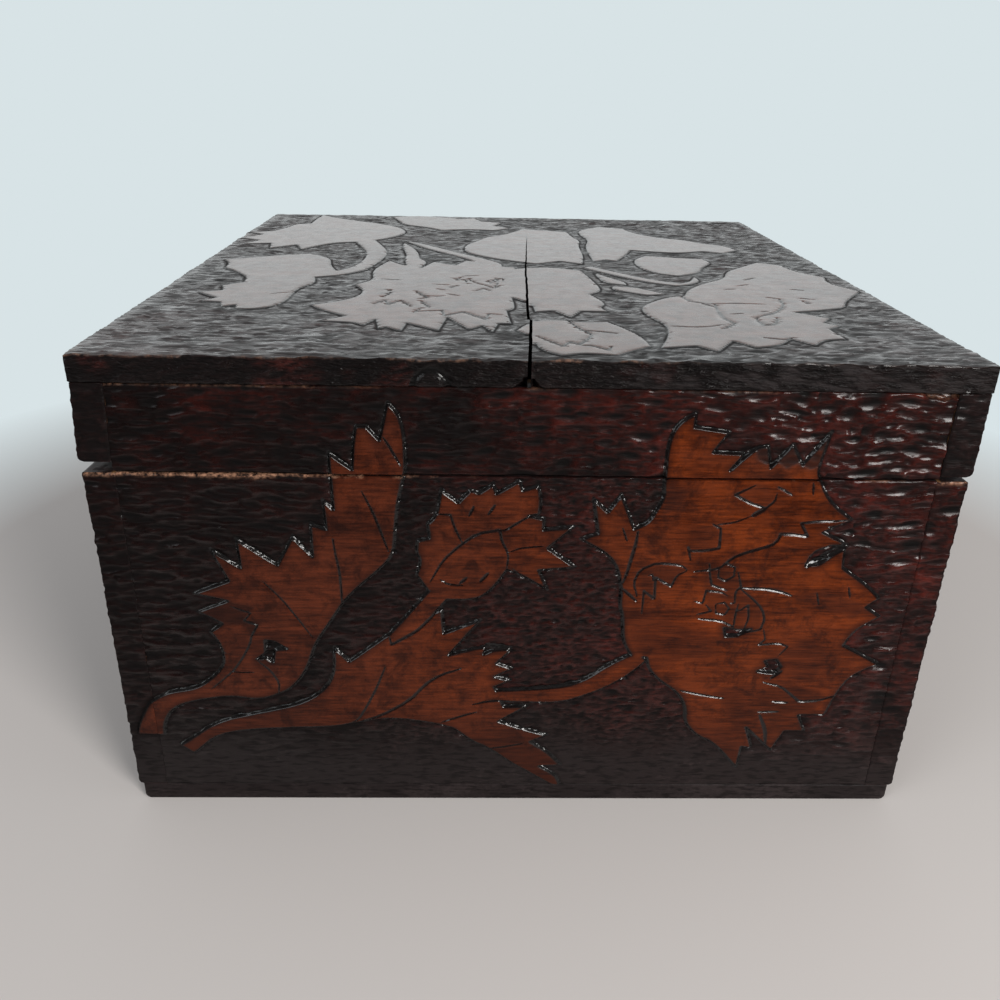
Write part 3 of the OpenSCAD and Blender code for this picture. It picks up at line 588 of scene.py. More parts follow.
def slab(name, a, b, place, thick, face, wall, plan, busy=None, slit=None, chamfer=0.3, edged=False):
    """A board as a closed mesh. a and b are grid lines over its shown face; plan(p, q) bends
    that grid, and busy(p, q) tells which of its cells are cut in four. place turns plan
    coordinates and a depth below the face into a point. face(p, q) gives the carved surface's
    depth and marks; wall(side, run, level) gives how far the board's edges are cut back and
    their marks. slit is (column, rows, middle(q), half(q)), an opening from the b start. An edged
    board takes a second material on all but its shown face."""
    p, q = plan(*np.meshgrid(halved(a), halved(b), indexing="ij"))
    na, nb = p.shape
    small = busy(p[1::2, 1::2], q[1::2, 1::2]) if busy else np.zeros((len(a) - 1, len(b) - 1), bool)
    if slit:
        small[slit[0] - 1:slit[0] + 1, :slit[1] + 2] = True
    quarters = small.repeat(2, 0).repeat(2, 1)
    used = np.zeros((na, nb), bool)
    used[::2, ::2] = True
    for i in (0, 1):
        for j in (0, 1):
            used[i:na - 1 + i, j:nb - 1 + j] |= quarters
    index = np.where(used, np.cumsum(used).reshape(na, nb) - 1, -1)
    left_of, right_of = index, index.copy()
    points_p, points_q = p[used], q[used]
    front = index[:, 0][index[:, 0] >= 0]
    sides = np.zeros(len(front), int)
    if slit:
        column, rows, (middle, half) = 2 * slit[0], 2 * slit[1], slit[2:]
        seam = np.flatnonzero(used[column, :rows])
        here = index[column, seam]
        there = len(points_p) + np.arange(len(seam))
        right_of[column, seam] = there
        seam_q = points_q[here]
        points_p[here] = middle(seam_q) - half(seam_q)
        points_p = np.append(points_p, middle(seam_q) + half(seam_q))
        points_q = np.append(points_q, seam_q)
        into = np.concatenate([here[1:], [index[column, rows]], there[::-1]])
        after = int((index[:column + 1, 0] >= 0).sum())
        front, sides = np.insert(front, after, into), np.insert(sides, after, [4] * len(into))
    depth, marks = face(points_p, points_q)
    # Cells cut in four, then whole cells with a corner more where a neighbour is cut
    quads = np.stack([right_of[:-1, :-1], left_of[1:, :-1], left_of[1:, 1:], right_of[:-1, 1:]], -1)[quarters]
    whole = np.stack([right_of[:-2:2, :-2:2], index[1::2, :-2:2], left_of[2::2, :-2:2], left_of[2::2, 1::2],
                      left_of[2::2, 2::2], index[1::2, 2::2], right_of[:-2:2, 2::2],
                      right_of[:-2:2, 1::2]], -1)[~small]
    # The rim runs round the board, and into the slit and out again
    rim = [front]
    for number, line in ((1, index[-1, 1:]), (2, index[-2::-1, -1]), (3, index[0, -2:0:-1])):
        rim.append(line[line >= 0])
        sides = np.append(sides, np.full(len(rim[-1]), number))
    rim = np.concatenate(rim)
    rp, rq, rd = points_p[rim], points_q[rim], depth[rim]
    tp, tq = np.roll(rp, -1) - np.roll(rp, 1), np.roll(rq, -1) - np.roll(rq, 1)
    size = np.maximum(np.hypot(tp, tq), 1e-9)
    out_p, out_q = tq / size, -tp / size
    for number, (to_p, to_q) in enumerate(((0, -1), (1, 0), (0, 1), (-1, 0))):
        out_p[sides == number], out_q[sides == number] = to_p, to_q
    run = np.where((sides == 0) | (sides == 2), rp, rq)
    all_points, all_marks = [place(points_p, points_q, depth)], [marks]
    levels = max(1, int(round((thick - chamfer - rd.mean()) / RING)))
    for k in range(1, levels + 1):
        level = rd + (thick - chamfer - rd) * k / levels
        cut, ring_marks = wall(sides, run, level)
        last_p, last_q = rp - cut * out_p, rq - cut * out_q
        all_points.append(place(last_p, last_q, level))
        all_marks.append(ring_marks)
    mid_p, mid_q = (rp.max() + rp.min()) / 2, (rq.max() + rq.min()) / 2
    for inset in (chamfer, BARE_FROM):
        less_p, less_q = 2 * inset / np.ptp(rp), 2 * inset / np.ptp(rq)
        all_points.append(place(last_p + (mid_p - last_p) * less_p, last_q + (mid_q - last_q) * less_q,
                                np.full(len(rim), float(thick))))
        all_marks.append(ring_marks.copy())
    all_marks[-1][:, MARKS.index("inside")] = 1
    corners, totals = [quads.ravel(), whole[whole >= 0]], [np.full(len(quads), 4), (whole >= 0).sum(1)]
    ring = rim
    for k in range(levels + 2):
        new = len(points_p) + k * len(rim) + np.arange(len(rim))
        corners.append(np.stack([ring, new, np.roll(new, -1), np.roll(ring, -1)], -1).ravel())
        totals.append(np.full(len(rim), 4))
        ring = new
    corners.append(ring[::-1])
    totals.append([len(ring)])
    corners, totals, points = np.concatenate(corners), np.concatenate(totals), np.concatenate(all_points)
    # Faces turn outwards: a face's normal points away from the board's inner side
    first = points[corners[:3]]
    normal = np.cross(first[1] - first[0], first[2] - first[0])
    if normal @ (points[ring].mean(0) - points[rim].mean(0)) > 0:
        corners = np.concatenate([part[::-1] for part in np.split(corners, np.cumsum(totals)[:-1])])
    walls_from = len(quads) + len(whole) if edged else None
    return make_mesh(name, points, corners, totals, np.concatenate(all_marks), walls_from)


def carved(sheet, p, q, ground, edge=1.0):
    """Depth and marks of a carved face: proud figures, burnt outlines and the gouged ground.
    edge is the share of its full depth that the ground has right beside a figure."""
    d = sheet.read(sheet.dist, p, q)
    cut = 1 - sheet.read(sheet.gap, p, q) / sheet.read(sheet.half, p, q)
    cut = np.clip(cut, -1, 1)
    hollow, relief = ground(p, q)
    proud = ramp(d, -0.25, 0.55)
    floor = (CARVE + relief + 0.08 * noise(p, q, 9, 31)) * (edge + (1 - edge) * ramp(d, -0.4, -3.6))
    # The knife line along an outline goes a little deeper than the ground
    floor = floor + 0.3 * ramp(d, -1.0, -0.3)
    top = 0.035 + 0.025 * noise(p, q, 14, 32) + 0.01 * noise(p * 0.25, q, 1.5, 33)
    # The darkest patches inside the figures are gouged a little too
    shade = sheet.read(sheet.shade, p, q)
    rough = ramp(shade, 0.7, 0.85)
    top = top + 0.45 * ramp(cut, 0.0, 1.0) + 0.6 * rough * np.clip(hollow, 0, 1)
    depth = np.maximum(floor * (1 - proud) + top * proud, 0)
    return depth, dict(reach=np.clip(d, -4, 4), cut=np.where(d > 0, cut, -1), tone=shade * proud,
                       hollow=hollow * (1 - proud * (1 - rough)))


sheet_front = front_sheet()
sheet_lid = lid_sheet()


def front_ground(p, q):
    """The ground's cuts change from long strokes at the left to stipple round the middle figures
    and broad scoops at the right, and fade towards the bottom."""
    wander = 6 * noise(p, q, 25, 14)
    broad = ramp(p + wander, 62, 71)
    fine = ramp(p + wander, -50, -41) * (1 - broad) * (1 - ramp(q + 0.4 * wander, 117, 120))
    long = 1 - fine - broad
    hollow = (long * gouges(p, q, 10.5, 2.4, 11) + fine * gouges(p, q, 4.0, 1.7, 12)
              + broad * gouges(p, q, 9.5, 3.2, 13))
    force = (1.15 * long + 1.05 * fine + 1.25 * broad) * (1 - 0.55 * ramp(q + 0.6 * wander, 32, 10))
    return hollow, force * (hollow - 0.55)


def rail_ground(p, q):
    """The cuts on the lid's front rail, broader to the right."""
    broad = ramp(p + 8 * noise(p, q, 20, 16), 45, 70)
    hollow = (1 - broad) * gouges(p, q, 9.0, 2.6, 15) + broad * gouges(p, q, 10.0, 3.4, 17)
    return hollow, (0.85 + 0.5 * broad) * (hollow - 0.55)


def lid_ground(p, q):
    """The cuts on the lid, shallower towards its sides and its back."""
    hollow = gouges(p, q, 10.5, 2.1, 21, 0.25)
    edge = least(p - LID_LOW[0], LID_HIGH[0] - p, LID_HIGH[1] - q)
    return hollow, 1.25 * (hollow - 0.6) * (0.35 + 0.65 * ramp(edge, 0.5, 6))


def front_tones(p, q, marks):
    """Redder above and to the right, black at the left, dull and charred along the bottom."""
    cloud = noise(p, q, 30, 43) + 0.5 * noise(p, q, 9, 44)
    low = ramp(q + 4 * cloud, 40, 14)
    lower = ramp(q + 12 * cloud, 75, 35)
    warm = np.clip(0.1 + 0.85 * ramp(p + 22 * cloud, -85, 75), 0, 1)
    marks["warm"] = warm * (1 - 0.6 * low) * (1 - 0.35 * lower)
    marks["tone"] = np.maximum(marks.get("tone", 0), 0.75 * low)
    return marks


def snapped(sheet, p, q, pitch, margin):
    """Grid points moved onto the outlines, except within this margin of the grid's border."""
    e = least(p - p.min(), p.max() - p, q - q.min(), q.max() - q)
    sp, sq = sheet.snap(p, q, pitch[0] / 2, pitch[1] / 2)
    return np.where(e > margin, sp, p), np.where(e > margin, sq, q)


def bare_below(level):
    """How unstained a hidden edge is. The stain ran a little way over it from the shown face."""
    return 0.85 * ramp(level, 3, 7)


def bare_wall(sides, run, level):
    """Edges that lie against other boards or show only when the lid is open."""
    return np.zeros(len(run)), marks_of(run, inside=bare_below(level), tone=0.6)


def on_front(p, q, depth):
    """The point this deep below the front's plane."""
    return np.stack([p, Y_FRONT + depth, q], -1)


def dress(piece, node, body, slot, *materials):
    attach(piece, body)
    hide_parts(node)
    for material in materials:
        piece.data.materials.append(material)


def front_board():
    (x0, _, z0), (x1, y1, z1) = FRONT_LOW, FRONT_HIGH
    pitch = (1.0, 0.5)
    a, b = lines_along(x0, x1, pitch[0], (0.5, 0.5)), lines_along(z0, z1, pitch[1], (0.5, 0.9))

    def plan(p, q):
        return snapped(sheet_front, p, q, pitch, 1.3)

    def face(p, q):
        depth, marks = carved(sheet_front, p, q, front_ground)
        worn = 0.15 + 0.3 * noise(p, q, 11, 41) + 0.25 * noise(p, q, 2.7, 42) + 0.75 * ramp(p, -10, -70)
        depth = depth + rounded(z1 - q, 0.9 * np.clip(worn, 0.3, 1.2))
        depth = depth + rounded(q - z0, 0.5) + rounded(np.minimum(p - x0, x1 - p), 0.15)
        marks["wear"] = ramp(z1 - q, 1.5 * worn, 0.2) * ramp(worn, 0.35, 0.75)
        return depth, marks_of(p, **front_tones(p, q, marks))

    return slab("front_board_carved", a, b, on_front, y1 - Y_FRONT, face, bare_wall, plan, sheet_front.busy)


def lid_rail():
    (x0, _, z0), (x1, y1, z1) = box_mm("lid_front_rail")
    pitch = (0.7, 0.36)
    a, b = lines_along(x0, x1, pitch[0], (0.5, 0.5)), lines_along(z0, z1, pitch[1], (0.6, 0.9))

    def plan(p, q):
        p, q = snapped(sheet_front, p, q, pitch, 1.0)
        left = x0 + LEAN * (q - z0) / (z1 - z0)
        return left + (p - x0) * (x1 - left) / (x1 - x0), q

    def face(p, q):
        depth, marks = carved(sheet_front, p, q, rail_ground)
        worn = 0.5 + 0.4 * noise(p, q, 13, 51) + 0.2 * noise(p, q, 2.9, 52) + 0.4 * ramp(p, -40, -90)
        # A splinter is gone from the upper edge near its right end
        chip = ramp(np.hypot((p - x1 + 5) / 6.0, (q - z1) / 2.2) + 0.25 * noise(p, q, 2.2, 53), 1.05, 0.7)
        depth = depth + rounded(z1 - q, 0.9 * np.clip(worn, 0.3, 1.2)) + rounded(q - z0, 0.6) + 1.3 * chip
        depth = depth + rounded(np.minimum(p - p.min(), x1 - p), 0.35)
        marks["wear"] = np.maximum(0.25 * ramp(z1 - q, 0.9, 0.2) * ramp(worn, 0.6, 1.1), 0.3 * chip)
        cloud = noise(p, q, 22, 54) + 0.6 * noise(p, q, 7, 55)
        marks["warm"] = np.clip(0.1 + 0.7 * ramp(p, -90, 60) + 0.4 * cloud, 0, 1)
        return depth, marks_of(p, **marks)

    return slab("lid_front_rail_carved", a, b, on_front, y1 - Y_FRONT, face, bare_wall, plan,
                sheet_front.busy)


def lid_edge(run, level):
    """The rough cuts along the edges of the lid's top board."""
    hollow = gouges(run + 1.2 * level, level + 0.25 * run, 7.0, 1.6, 64)
    return hollow, 0.05 + 0.6 * np.clip(hollow, 0, 1) + 0.05 * noise(run, level, 1.3, 67)


def rim_cut(run):
    """How far the rim of the lid's shown face is cut back: as far as its edge is just below."""
    return lid_edge(run, 1.2)[1]


# The cuts in the lid's sides are this much of the ones in its front and back
SIDE_SHARE = 0.4
# Where the half knot and the crack's foot lie along the lid's front edge, and the knot's radius
KNOT_X, CRACK_X, KNOT_RADIUS = -28, -1.2, 4.5


def lid_top():
    (x0, y0, z0), (x1, y1, z1) = LID_LOW, LID_HIGH
    pitch = (1.5, 0.65)
    a, b = lines_along(x0, x1, pitch[0], (0.9, 0.9)), lines_along(y0, y1, pitch[1], (0.9, 0.9))
    # The grid column that opens along the crack, and the row where it ends
    column, rows = int(np.argmin(np.abs(a - 1.5))), int(np.argmin(np.abs(b - CRACK_TIP)))

    def plan(p, q):
        # Columns bend with the crack
        wide = np.where(q < CRACK_TIP, crack_half(q), 0)
        left = x0 + (p - x0) * (crack_middle(q) - wide - x0) / (a[column] - x0)
        right = x1 - (x1 - p) * (x1 - crack_middle(q) - wide) / (x1 - a[column])
        straight_p = np.where(p <= a[column], left, right)
        new_p, new_q = snapped(sheet_lid, straight_p, q, pitch, 1.8)
        near = np.abs(p - a[column]) < 1.5
        new_p, new_q = np.where(near, straight_p, new_p), np.where(near, q, new_q)
        # The rim follows the cuts in the edges below it
        cut = rim_cut(new_p)
        for sign, edge in ((1, y0), (-1, y1)):
            new_q = new_q + sign * cut * ramp(np.abs(new_q - edge), 3.0, 0.0)
        cut = SIDE_SHARE * rim_cut(new_q)
        for sign, edge in ((1, x0), (-1, x1)):
            new_p = new_p + sign * cut * ramp(np.abs(new_p - edge), 3.0, 0.0)
        return new_p, new_q

    def busy(p, q):
        crack = (np.abs(p - crack_middle(q)) < 1.6) & (q < CRACK_TIP + 30)
        return sheet_lid.busy(p, q) | crack | (q < y0 + 2.2)

    def face(p, q):
        depth, marks = carved(sheet_lid, p, q, lid_ground, 0.35)
        edge = least(p - x0, x1 - p, q - y0, y1 - q)
        worn = 0.7 + 0.5 * noise(p, q, 9, 62) + 0.35 * noise(p, q, 2.3, 63)
        depth = depth + rounded(edge, 0.9 * np.clip(worn, 0.4, 1.3))
        # A hairline runs on behind the crack's end
        hair = ramp(np.abs(p - crack_middle(q)), 0.8, 0.1) * ramp(q, CRACK_TIP + 34, CRACK_TIP + 4)
        hair = hair * (q > CRACK_TIP - 6)
        marks["cut"] = np.maximum(marks["cut"], 2 * hair - 1)
        wear = 0.35 * ramp(edge, 1.6 * worn, 0.3) * ramp(worn, 0.5, 1.2)
        marks["wear"] = wear * (1 - 0.8 * ramp(p, 10, 60))
        marks["tone"] = 0.6 * ramp(edge, 1.3, 0.3)
        marks["warm"] = 0.2 + 0.2 * noise(p, q, 40, 68)
        # Towards the left less of the lid's ground counts as gouged, so it is glossier and less burnt black
        # there: a painted sheen that lightens the left side
        marks["hollow"] = marks["hollow"] * (0.45 + 0.55 * ramp(p, -90, 30))
        return depth + 0.3 * hair, marks_of(p, **marks)

    def wall(sides, run, level):
        hollow, cut = lid_edge(run, level)
        # The chip at the crack's foot and the ring round the half knot, both on the front edge
        up = z1 - z0 - level
        chip = ramp(np.abs(run - CRACK_X) + 1.1 * up + 0.7 * noise(run, level, 1.3, 65), 4.4, 3.2)
        ring = np.hypot(run - KNOT_X, up) - KNOT_RADIUS - 0.25 * noise(run, level, 2.5, 66)
        knot, groove = ramp(ring, 0.3, -0.5), ramp(np.abs(ring - 0.3), 1.5, 0.3)
        front = sides == 0
        front_cut = cut * (1 - 0.85 * knot) + 0.1 * knot + 0.7 * groove + 2.4 * chip
        cut = np.where(front, front_cut, cut) - rim_cut(run)
        in_crack, on_sides = sides == 4, (sides == 1) | (sides == 3)
        cut = np.select([in_crack, on_sides], [0 * cut, SIDE_SHARE * cut], cut)
        patches = ramp(noise(run, level, 17, 69) + 0.6 * noise(run, level, 5, 70), 0.2, 0.75)
        # Grey charring lies in slanting strokes. It is laid on more thickly towards the right, where the grey
        # is also a painted sheen of the light from that side
        strokes = np.clip(0.7 + 0.8 * noise(0.3 * run, level - 0.2 * run, 1.3, 71), 0, 1)
        grey = (0.15 + 0.85 * ramp(run, -5, 55)) * strokes
        wear = 0.25 * ramp(level, 1.0, 0.3) * ramp(noise(run, 0, 6, 60), 0.0, 0.6)
        return cut, marks_of(run, cut=np.where(front, 2.4 * np.maximum(groove, 0.3 * chip) - 1, -1),
                             hollow=np.where(front, np.maximum(hollow, groove), hollow),
                             wear=wear * (1 - 0.8 * ramp(run, 10, 60)),
                             warm=0.7 * patches * (1 - knot) * (1 - 0.6 * ramp(run, 30, 70)),
                             tone=np.where(front, np.maximum(0.35 * knot, grey), 0.3))

    def place(p, q, depth):
        return np.stack([p, q, z1 - depth], -1)

    return slab("lid_top_carved", a, b, place, z1 - z0, face, wall, plan, busy,
                (column, rows, crack_middle, crack_half), chamfer=0.5, edged=True)


# The rim of a side's face follows the cuts that its front end has this far below the face
END_RIM = 1.0


def gouged(p, q, shift, seed, edge, z0):
    """Depth, cuts and wear of a side's outer face, which has no figures. edge is how far a point
    lies from the worn edges, and z0 the height of the eased lower one."""
    hollow = gouges(p + shift, q, 8.0, 2.6, seed)
    worn = 0.75 + 0.5 * noise(p, q, 10, seed + 1) + 0.3 * noise(p, q, 2.5, seed + 2)
    depth = 0.35 + 0.5 * (hollow - 0.5) + 0.1 * noise(p, q, 12, seed + 3)
    depth = np.maximum(depth * ramp(q, z0, z0 + 4), 0) + rounded(q - z0, 2.0)
    return depth + rounded(edge, np.clip(worn, 0.4, 1.2)), hollow, worn


def side_board(side):
    """A side wall: gouged outside, with the front's drawing running over its front end."""
    (x0, _, z0), (x1, y1, z1) = box_mm("right_board" if side > 0 else "left_board")
    outer = max(abs(x0), abs(x1))
    a, b = lines_along(Y_FRONT, y1, 1.3, (1.0, 0.9)), lines_along(z0, z1, 0.55, (2.0, 1.0))

    def end_cut(q, level):
        return carved(sheet_front, side * (outer - level), q, front_ground)

    def plan(p, q):
        return p + end_cut(q, END_RIM)[0] * ramp(p - Y_FRONT, 3.0, 0.0), q

    def face(p, q):
        edge = least(p - Y_FRONT, y1 - p, z1 - q)
        depth, hollow, worn = gouged(p, q, 50 * side, 71, edge, z0)
        marks = dict(hollow=hollow, wear=ramp(z1 - q, 2.0 * worn, 0.3) * ramp(worn, 0.5, 0.9))
        return depth, marks_of(p, **front_tones(30 * noise(p, q, 40, 76) - 60, q, marks))

    def wall(sides, run, level):
        cut, marks = end_cut(run, level)
        front, upper = sides == 3, sides == 2
        round_up = rounded(z1 - run, 0.8) + rounded(run - z0, 0.8)
        cut = cut - end_cut(run, END_RIM)[0] + round_up
        cut = np.where(front, cut, np.where(sides == 1, 0.1 + 0.1 * noise(run, level, 5, 75), 0))
        marks = front_tones(side * (outer - level), run, marks)
        marks = {key: np.where(front, value, FAR.get(key, 0.3)) for key, value in marks.items()}
        marks["wear"] = np.where(front, ramp(z1 - run, 1.4, 0.3) * 0.8, 0)
        return cut, marks_of(run, inside=np.where(upper, ramp(level, 8, 9.5), 0), **marks)

    name = "right_board_gouged" if side > 0 else "left_board_gouged"
    return slab(name, a, b, lambda p, q, d: np.stack([side * (outer - d), p, q], -1),
                outer - min(abs(x0), abs(x1)), face, wall, plan, chamfer=0.12)


def side_rail(side):
    """A side rail of the lid; the left one leans in at its top."""
    node = "lid_right_rail" if side > 0 else "lid_left_rail"
    (x0, y0, z0), (x1, y1, z1) = box_mm(node)
    lean = LEAN if side < 0 else 0.0
    a, b = lines_along(y0, y1, 1.1, (1.0, 0.9)), lines_along(z0, z1, 0.5, (2.0, 0.4))

    def out_x(q):
        return LID_HIGH[0] - lean * (q - RAIL_LOW) / (z1 - RAIL_LOW)

    def end_cut(q, level):
        hollow = gouges(7 * side + level, q, 6.0, 2.4, 81)
        return 0.15 + 0.6 * np.clip(hollow, 0, 1) + 0.1 * noise(level, q, 3, 82), hollow

    def plan(p, q):
        return p + end_cut(q, END_RIM)[0] * ramp(p - y0, 3.0, 0.0), q

    def face(p, q):
        depth, hollow, _ = gouged(p, q, 90 * side, 83, np.minimum(p - y0, y1 - p), z0)
        return depth, marks_of(p, hollow=hollow, warm=0.25, tone=0.2)

    def wall(sides, run, level):
        cut, hollow = end_cut(run, level)
        front = (sides == 3) | (sides == 1)
        cut = cut - np.where(sides == 3, end_cut(run, END_RIM)[0], 0)
        cut = np.where(front, cut + rounded(run - z0, 0.8), 0)
        bare = bare_below(level) * ramp(run, y0 + 9, y0 + 12)
        return cut, marks_of(run, hollow=np.where(front, hollow, 0), tone=0.2, warm=0.1,
                             inside=np.where(front, 0.0, bare))

    return slab(node + "_gouged", a, b, lambda p, q, d: np.stack([side * (out_x(q) - d), p, q], -1),
                RAIL_THICK, face, wall, plan)


def eased(node, bare, splits=()):
    """The node's own shape with its edges eased; bare(points) tells which points lie on unstained
    wood, and its faces are split along these planes (axis, level) where that changes."""
    work = bmesh.new()
    work.from_mesh(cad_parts[node].data)
    bmesh.ops.remove_doubles(work, verts=work.verts, dist=1e-6)
    bmesh.ops.dissolve_limit(work, angle_limit=math.radians(1), verts=work.verts, edges=work.edges)
    for axis, level in splits:
        bmesh.ops.bisect_plane(work, geom=work.verts[:] + work.edges[:] + work.faces[:], dist=1e-6,
                               plane_co=[level * MM if k == axis else 0 for k in range(3)],
                               plane_no=[float(k == axis) for k in range(3)])
    mesh = bpy.data.meshes.new(node + "_eased")
    work.to_mesh(mesh)
    work.free()
    piece = placed(node + "_eased", mesh)
    bevel = piece.modifiers.new("eased", "BEVEL")
    bevel.width, bevel.segments = 0.5 * MM, 3
    bevel.limit_method, bevel.angle_limit = "ANGLE", math.radians(50)
    bevel.use_clamp_overlap = False
    depsgraph = bpy.context.evaluated_depsgraph_get()
    final = bpy.data.meshes.new_from_object(piece.evaluated_get(depsgraph))
    piece.modifiers.clear()
    piece.data = final
    points = points_of(final)
    set_marks(final, marks_of(points[:, 0], tone=0.8, warm=0.1, inside=bare(points).astype(float)))
    final.set_sharp_from_angle(angle=math.radians(40))
    return piece


# ---------------------------------------------------------------- materials
class Nodes:
    """Short forms for building a node tree."""

    def __init__(self, owner):
        """owner is the material or the world that the tree belongs to."""
        owner.use_nodes = True
        self.owner, self.tree = owner, owner.node_tree
        self.shader = self.tree.nodes.get("Principled BSDF")

    def new(self, kind, inputs=(), **settings):
        node = self.tree.nodes.new("ShaderNode" + kind)
        for key, value in settings.items():
            setattr(node, key, value)
        for key, value in dict(inputs).items():
            self.feed(node.inputs[key], value)
        return node

    def set(self, key, value):
        self.feed(self.shader.inputs[key], value)

    def feed(self, socket, value):
        if isinstance(value, bpy.types.NodeSocket):
            self.tree.links.new(value, socket)
        else:
            socket.default_value = value

    def maths(self, operation, a, b=0.0, clamp=False):
        node = self.new("Math", {0: a, 1: b}, operation=operation, use_clamp=clamp)
        return node.outputs[0]

    def times(self, a, b, clamp=False):
        return self.maths("MULTIPLY", a, b, clamp)

    def plus(self, a, b):
        return self.maths("ADD", a, b)

    def most(self, a, b):
        return self.maths("MAXIMUM", a, b)

    def mix(self, factor, a, b):
        node = self.new("Mix", data_type="RGBA")
        for socket, value in zip((0, 6, 7), (factor, a, b)):
            self.feed(node.inputs[socket], (*value, 1) if isinstance(value, tuple) else value)
        return node.outputs[2]

    def spread(self, value, low, high, to_low=0.0, to_high=1.0):
        node = self.new("MapRange", {0: value, 1: low, 2: high, 3: to_low, 4: to_high})
        return node.outputs[0]

    def mark(self, key):
        return self.new("Attribute", attribute_name=key).outputs["Fac"]

    def stretched(self, scale, offset=(0, 0, 0)):
        """Object coordinates in millimetres, scaled along each axis or evenly."""
        scale = scale if isinstance(scale, tuple) else (scale,) * 3
        place = self.new("TexCoord").outputs["Object"]
        return self.new("Mapping", {"Vector": place, "Location": offset,
                                    "Scale": [1000 * s for s in scale]}).outputs[0]

    def noise(self, vector, scale, detail=4.0, rough=0.55, distortion=0.0):
        return self.new("TexNoise", {"Vector": vector, "Scale": scale, "Detail": detail,
                                     "Roughness": rough, "Distortion": distortion}).outputs[0]


def by_axis(axes, value, rest):
    """One value for these axes and another for the rest."""
    return tuple(value if k in axes else rest for k in range(3))


def srgb(r, g, b):
    """A colour given from 0 to 255 as a screen shows it, in linear light."""
    return tuple((c / 255 / 12.92) if c <= 10 else ((c / 255 + 0.055) / 1.055) ** 2.4 for c in (r, g, b))


# Stains from dark to light, the scorched wood, and the ground's burnt, black, red and grey parts; the grey
# also paints sheen on the lid's front edge
BROWN = (srgb(42, 19, 13), srgb(80, 37, 23))
ORANGE = (srgb(48, 16, 5), srgb(104, 43, 14))
SHADED = srgb(24, 11, 9)
BURNT = srgb(8, 5, 5)
BLACK_GROUND = srgb(24, 13, 12)
RED_GROUND = srgb(78, 27, 20)
CHARRED_AND_SHEEN = srgb(48, 42, 42)


